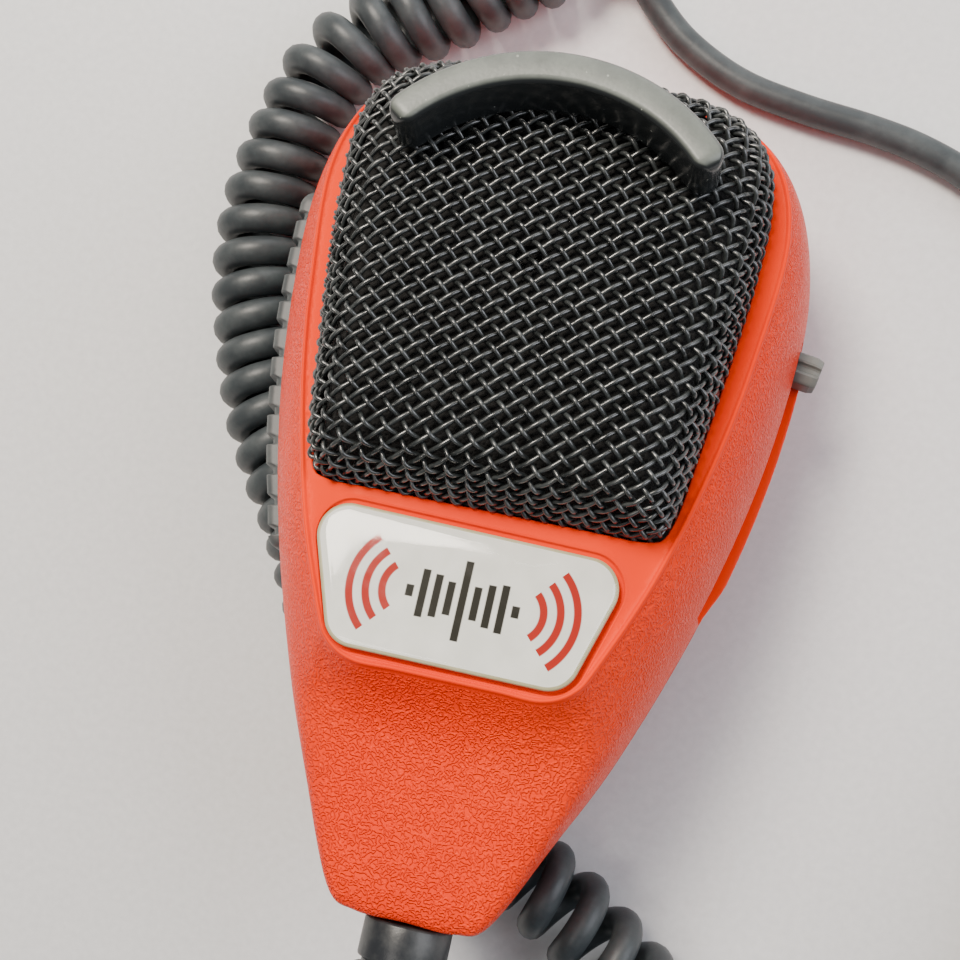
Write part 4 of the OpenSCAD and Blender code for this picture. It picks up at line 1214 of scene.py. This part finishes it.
relief = {"neck": [(1.9, 0.12), (5.1, 0.12), (5.1, 4.6), (4.5, 4.62), (4.5, 5.6), (5.4, 5.6),
                   (5.4, 7.3), (4.7, 7.3)], "ribs": 4, "firstRib": 9.2, "ribPitch": 3.2, "groove": 1.1,
          "wide": 4.7, "taper": 1.6, "grooveWide": 3.7, "grooveTaper": 0.25}


# a cone of rubber with grooves across it, so that it bends
def strainRelief():
    profile = list(relief["neck"])
    for k in range(relief["ribs"]):
        top = relief["firstRib"] + relief["ribPitch"] * k
        wide = lambda d: relief["wide"] - relief["taper"] * (d - 7.3) / 15.2
        deep = relief["grooveWide"] - relief["grooveTaper"] * k
        foot = top + relief["groove"]
        profile += [(wide(top), top), (deep, top + 0.05), (deep, foot - 0.05), (wide(foot), foot)]
    profile += [(3.1, 22.3), (2.9, 22.5), (1.96, 22.5), (1.96, 20)]
    return turned("cord_strain_relief", profile, alongTail, [reliefRubber], "housing", "soft_rubber",
                  ("strain_relief",), radius=0.3)


knurl = {"degrees": 7.5, "deep": 0.42, "from": 30, "to": 41}


# straight knurl round the coupling ring
def knurled(verts, w):
    deep = np.clip(1 - np.abs((np.degrees(w) / knurl["degrees"]) % 2 - 1) * 1.3, 0, 1) * knurl["deep"]
    band = np.clip((verts[:, 2] - knurl["from"]) / 0.5, 0, 1)
    band = band * np.clip((knurl["to"] - verts[:, 2]) / 0.5, 0, 1)
    r = np.hypot(verts[:, 0], verts[:, 1])
    outer = np.clip((r - 8.9) / 0.2, 0, 1)
    grow = 1 + deep * band * outer / np.maximum(r, 1)
    verts = verts.copy()
    verts[:, :2] *= grow[:, None]
    return verts


# profiles of the plug's pieces, as (radius, distance along the plug)
plug = {"boot": [(1.96, 0), (3, 0), (3.4, 3), (3.1, 3.4), (3.1, 4.2), (3.8, 4.6), (4.2, 6.6), (3.8, 7),
                 (3.8, 7.8), (4.5, 8.4), (4.6, 12), (0.5, 12)],
        "body": [(4.4, 12.02), (6.6, 12.02), (7.6, 13.2), (7.6, 27.6), (7.3, 28), (7.6, 28.4), (7.6, 31),
                 (6.35, 31), (6.35, 14)],
        "ring": [(7.68, 32), (7.68, 29), (8.6, 29), (9.1, 29.6), (9.1, 30), (9.1, 30.6), (9.1, 35),
                 (9.1, 40.4), (9.1, 41), (9.1, 42), (8.6, 42.5), (7.3, 42.5), (7.2, 42), (7.2, 32)]}


def plugPieces():
    turned("plug_cord_boot", plug["boot"], alongPlug, [jacketDark], "housing", "soft_rubber",
           ("plug_boot",))
    turned("plug_body", plug["body"], alongPlug, [chrome], "housing", "chrome", ("plug_shell",))
    turned("plug_coupling_ring", plug["ring"], alongPlug, [chrome], "coupling_ring", "chrome",
           ("coupling_ring",), segments=288, radius=0.2, wobble=knurled)


button = {"y": 20, "profile": [(0.05, -5), (3, -5), (6.6, -5), (7, -4.6), (7, -2.8), (4, -2.8), (4, 0),
                               (2, 0), (2, 3.9), (0.05, 3.9)]}


def hangButton():
    def place(points):
        p = np.asarray(points, float)
        return laid(np.column_stack([p[:, 0], button["y"] + p[:, 1], p[:, 2]]))
    return turned("hang_up_button", button["profile"], place, [steel], "housing", "steel",
                  ("hang_button",), radius=0.4)


strainRelief()
plugPieces()
hangButton()
print("stage: turned pieces made")


finishes = {"grille_frame": insideBlack, "cartridge_holder": insideBlack, "transistors": insideBlack,
            "talk_switch": insideBlack, "battery_snap": insideBlack, "cable_clamp": insideBlack,
            "lip_rest_nuts": steel, "hang_button_nut": steel, "case_screws": steel, "clamp_screws": steel,
            "talk_bar_pin": steel, "talk_bar_spring": steel, "plug_screw": steel, "gain_pot": steel,
            "mic_cartridge": canAluminium, "cartridge_boot": reliefRubber, "circuit_board": laminate,
            "capacitors": sleeve, "resistors": resistorEnamel, "wire_harness": hookupWire,
            "switch_plunger": plungerRed, "battery": cellJacket, "cord_inlet": cordJacket,
            "plug_insert": phenolic, "plug_contacts": gold}
for name, finish in finishes.items():
    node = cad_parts[name]
    for place in node.material_slots:
        place.material = finish
shown = {name for name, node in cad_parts.items() if not node.hide_render}
print("stage: finishes set on kept pieces; left over:", sorted(shown - set(finishes)))


# the camera's place and axes, the table, and area lamps: place, aim, size, watts and colour
studioSet = {"lens": 46.875, "sensor": 36, "at": (0.01764, 0.0117, 0.17223),
             "right": (0.97155, 0.19467, -0.13466), "down": (0.19262, -0.98084, -0.02768),
             "away": (-0.1375, 0.0009, -0.9905), "tableHalf": 1.5, "sky": "#dfe3e8", "skyPower": 0.22,
             "lamps": [("key", (-0.2, 0.26, 0.5), (0, 0.0, 0.02), 0.2, 5.3, "#fff4e6"),
                       ("fill", (0.45, 0.12, 0.35), (0, 0.01, 0.02), 0.4, 2.2, "#f4f6ff"),
                       ("head", (0.05, 0.6, 0.25), (0, 0.01, 0.02), 0.4, 1.3, "#ffffff"),
                       ("tail", (-0.13, -0.12, 0.42), (-0.01, -0.035, 0.02), 0.12, 0.28, "#fffaf2")]}


def studio():
    camera = bpy.data.objects.new("camera", bpy.data.cameras.new("camera"))
    bpy.context.scene.collection.objects.link(camera)
    camera.data.lens = studioSet["lens"]
    camera.data.sensor_width = studioSet["sensor"]
    camera.data.clip_start = 0.01
    rows = [Vector(studioSet["right"]), -Vector(studioSet["down"]), -Vector(studioSet["away"])]
    turn = Matrix(rows).transposed().to_4x4()
    camera.matrix_world = Matrix.Translation(studioSet["at"]) @ turn
    bpy.context.scene.camera = camera
    half = studioSet["tableHalf"]
    table = bpy.data.objects.new("table", bpy.data.meshes.new("table"))
    corners = [(-half, -half, 0), (half, -half, 0), (half, half, 0), (-half, half, 0)]
    table.data.from_pydata(corners, [], [(0, 1, 2, 3)])
    table.data.materials.append(paleTable())
    bpy.context.scene.collection.objects.link(table)
    for name, place, aim, size, power, colour in studioSet["lamps"]:
        lamp = bpy.data.objects.new(name, bpy.data.lights.new(name, "AREA"))
        lamp.data.shape = "SQUARE"
        lamp.data.size = size
        lamp.data.energy = power
        lamp.data.color = linear(colour)[:3]
        lamp.location = place
        lamp.rotation_euler = (Vector(aim) - Vector(place)).to_track_quat("-Z", "Y").to_euler()
        bpy.context.scene.collection.objects.link(lamp)
    world = bpy.data.worlds.new("studio")
    world.use_nodes = True
    sky = world.node_tree.nodes["Background"]
    sky.inputs["Color"].default_value = linear(studioSet["sky"])
    sky.inputs["Strength"].default_value = studioSet["skyPower"]
    bpy.context.scene.world = world


studio()
print("stage: studio set")
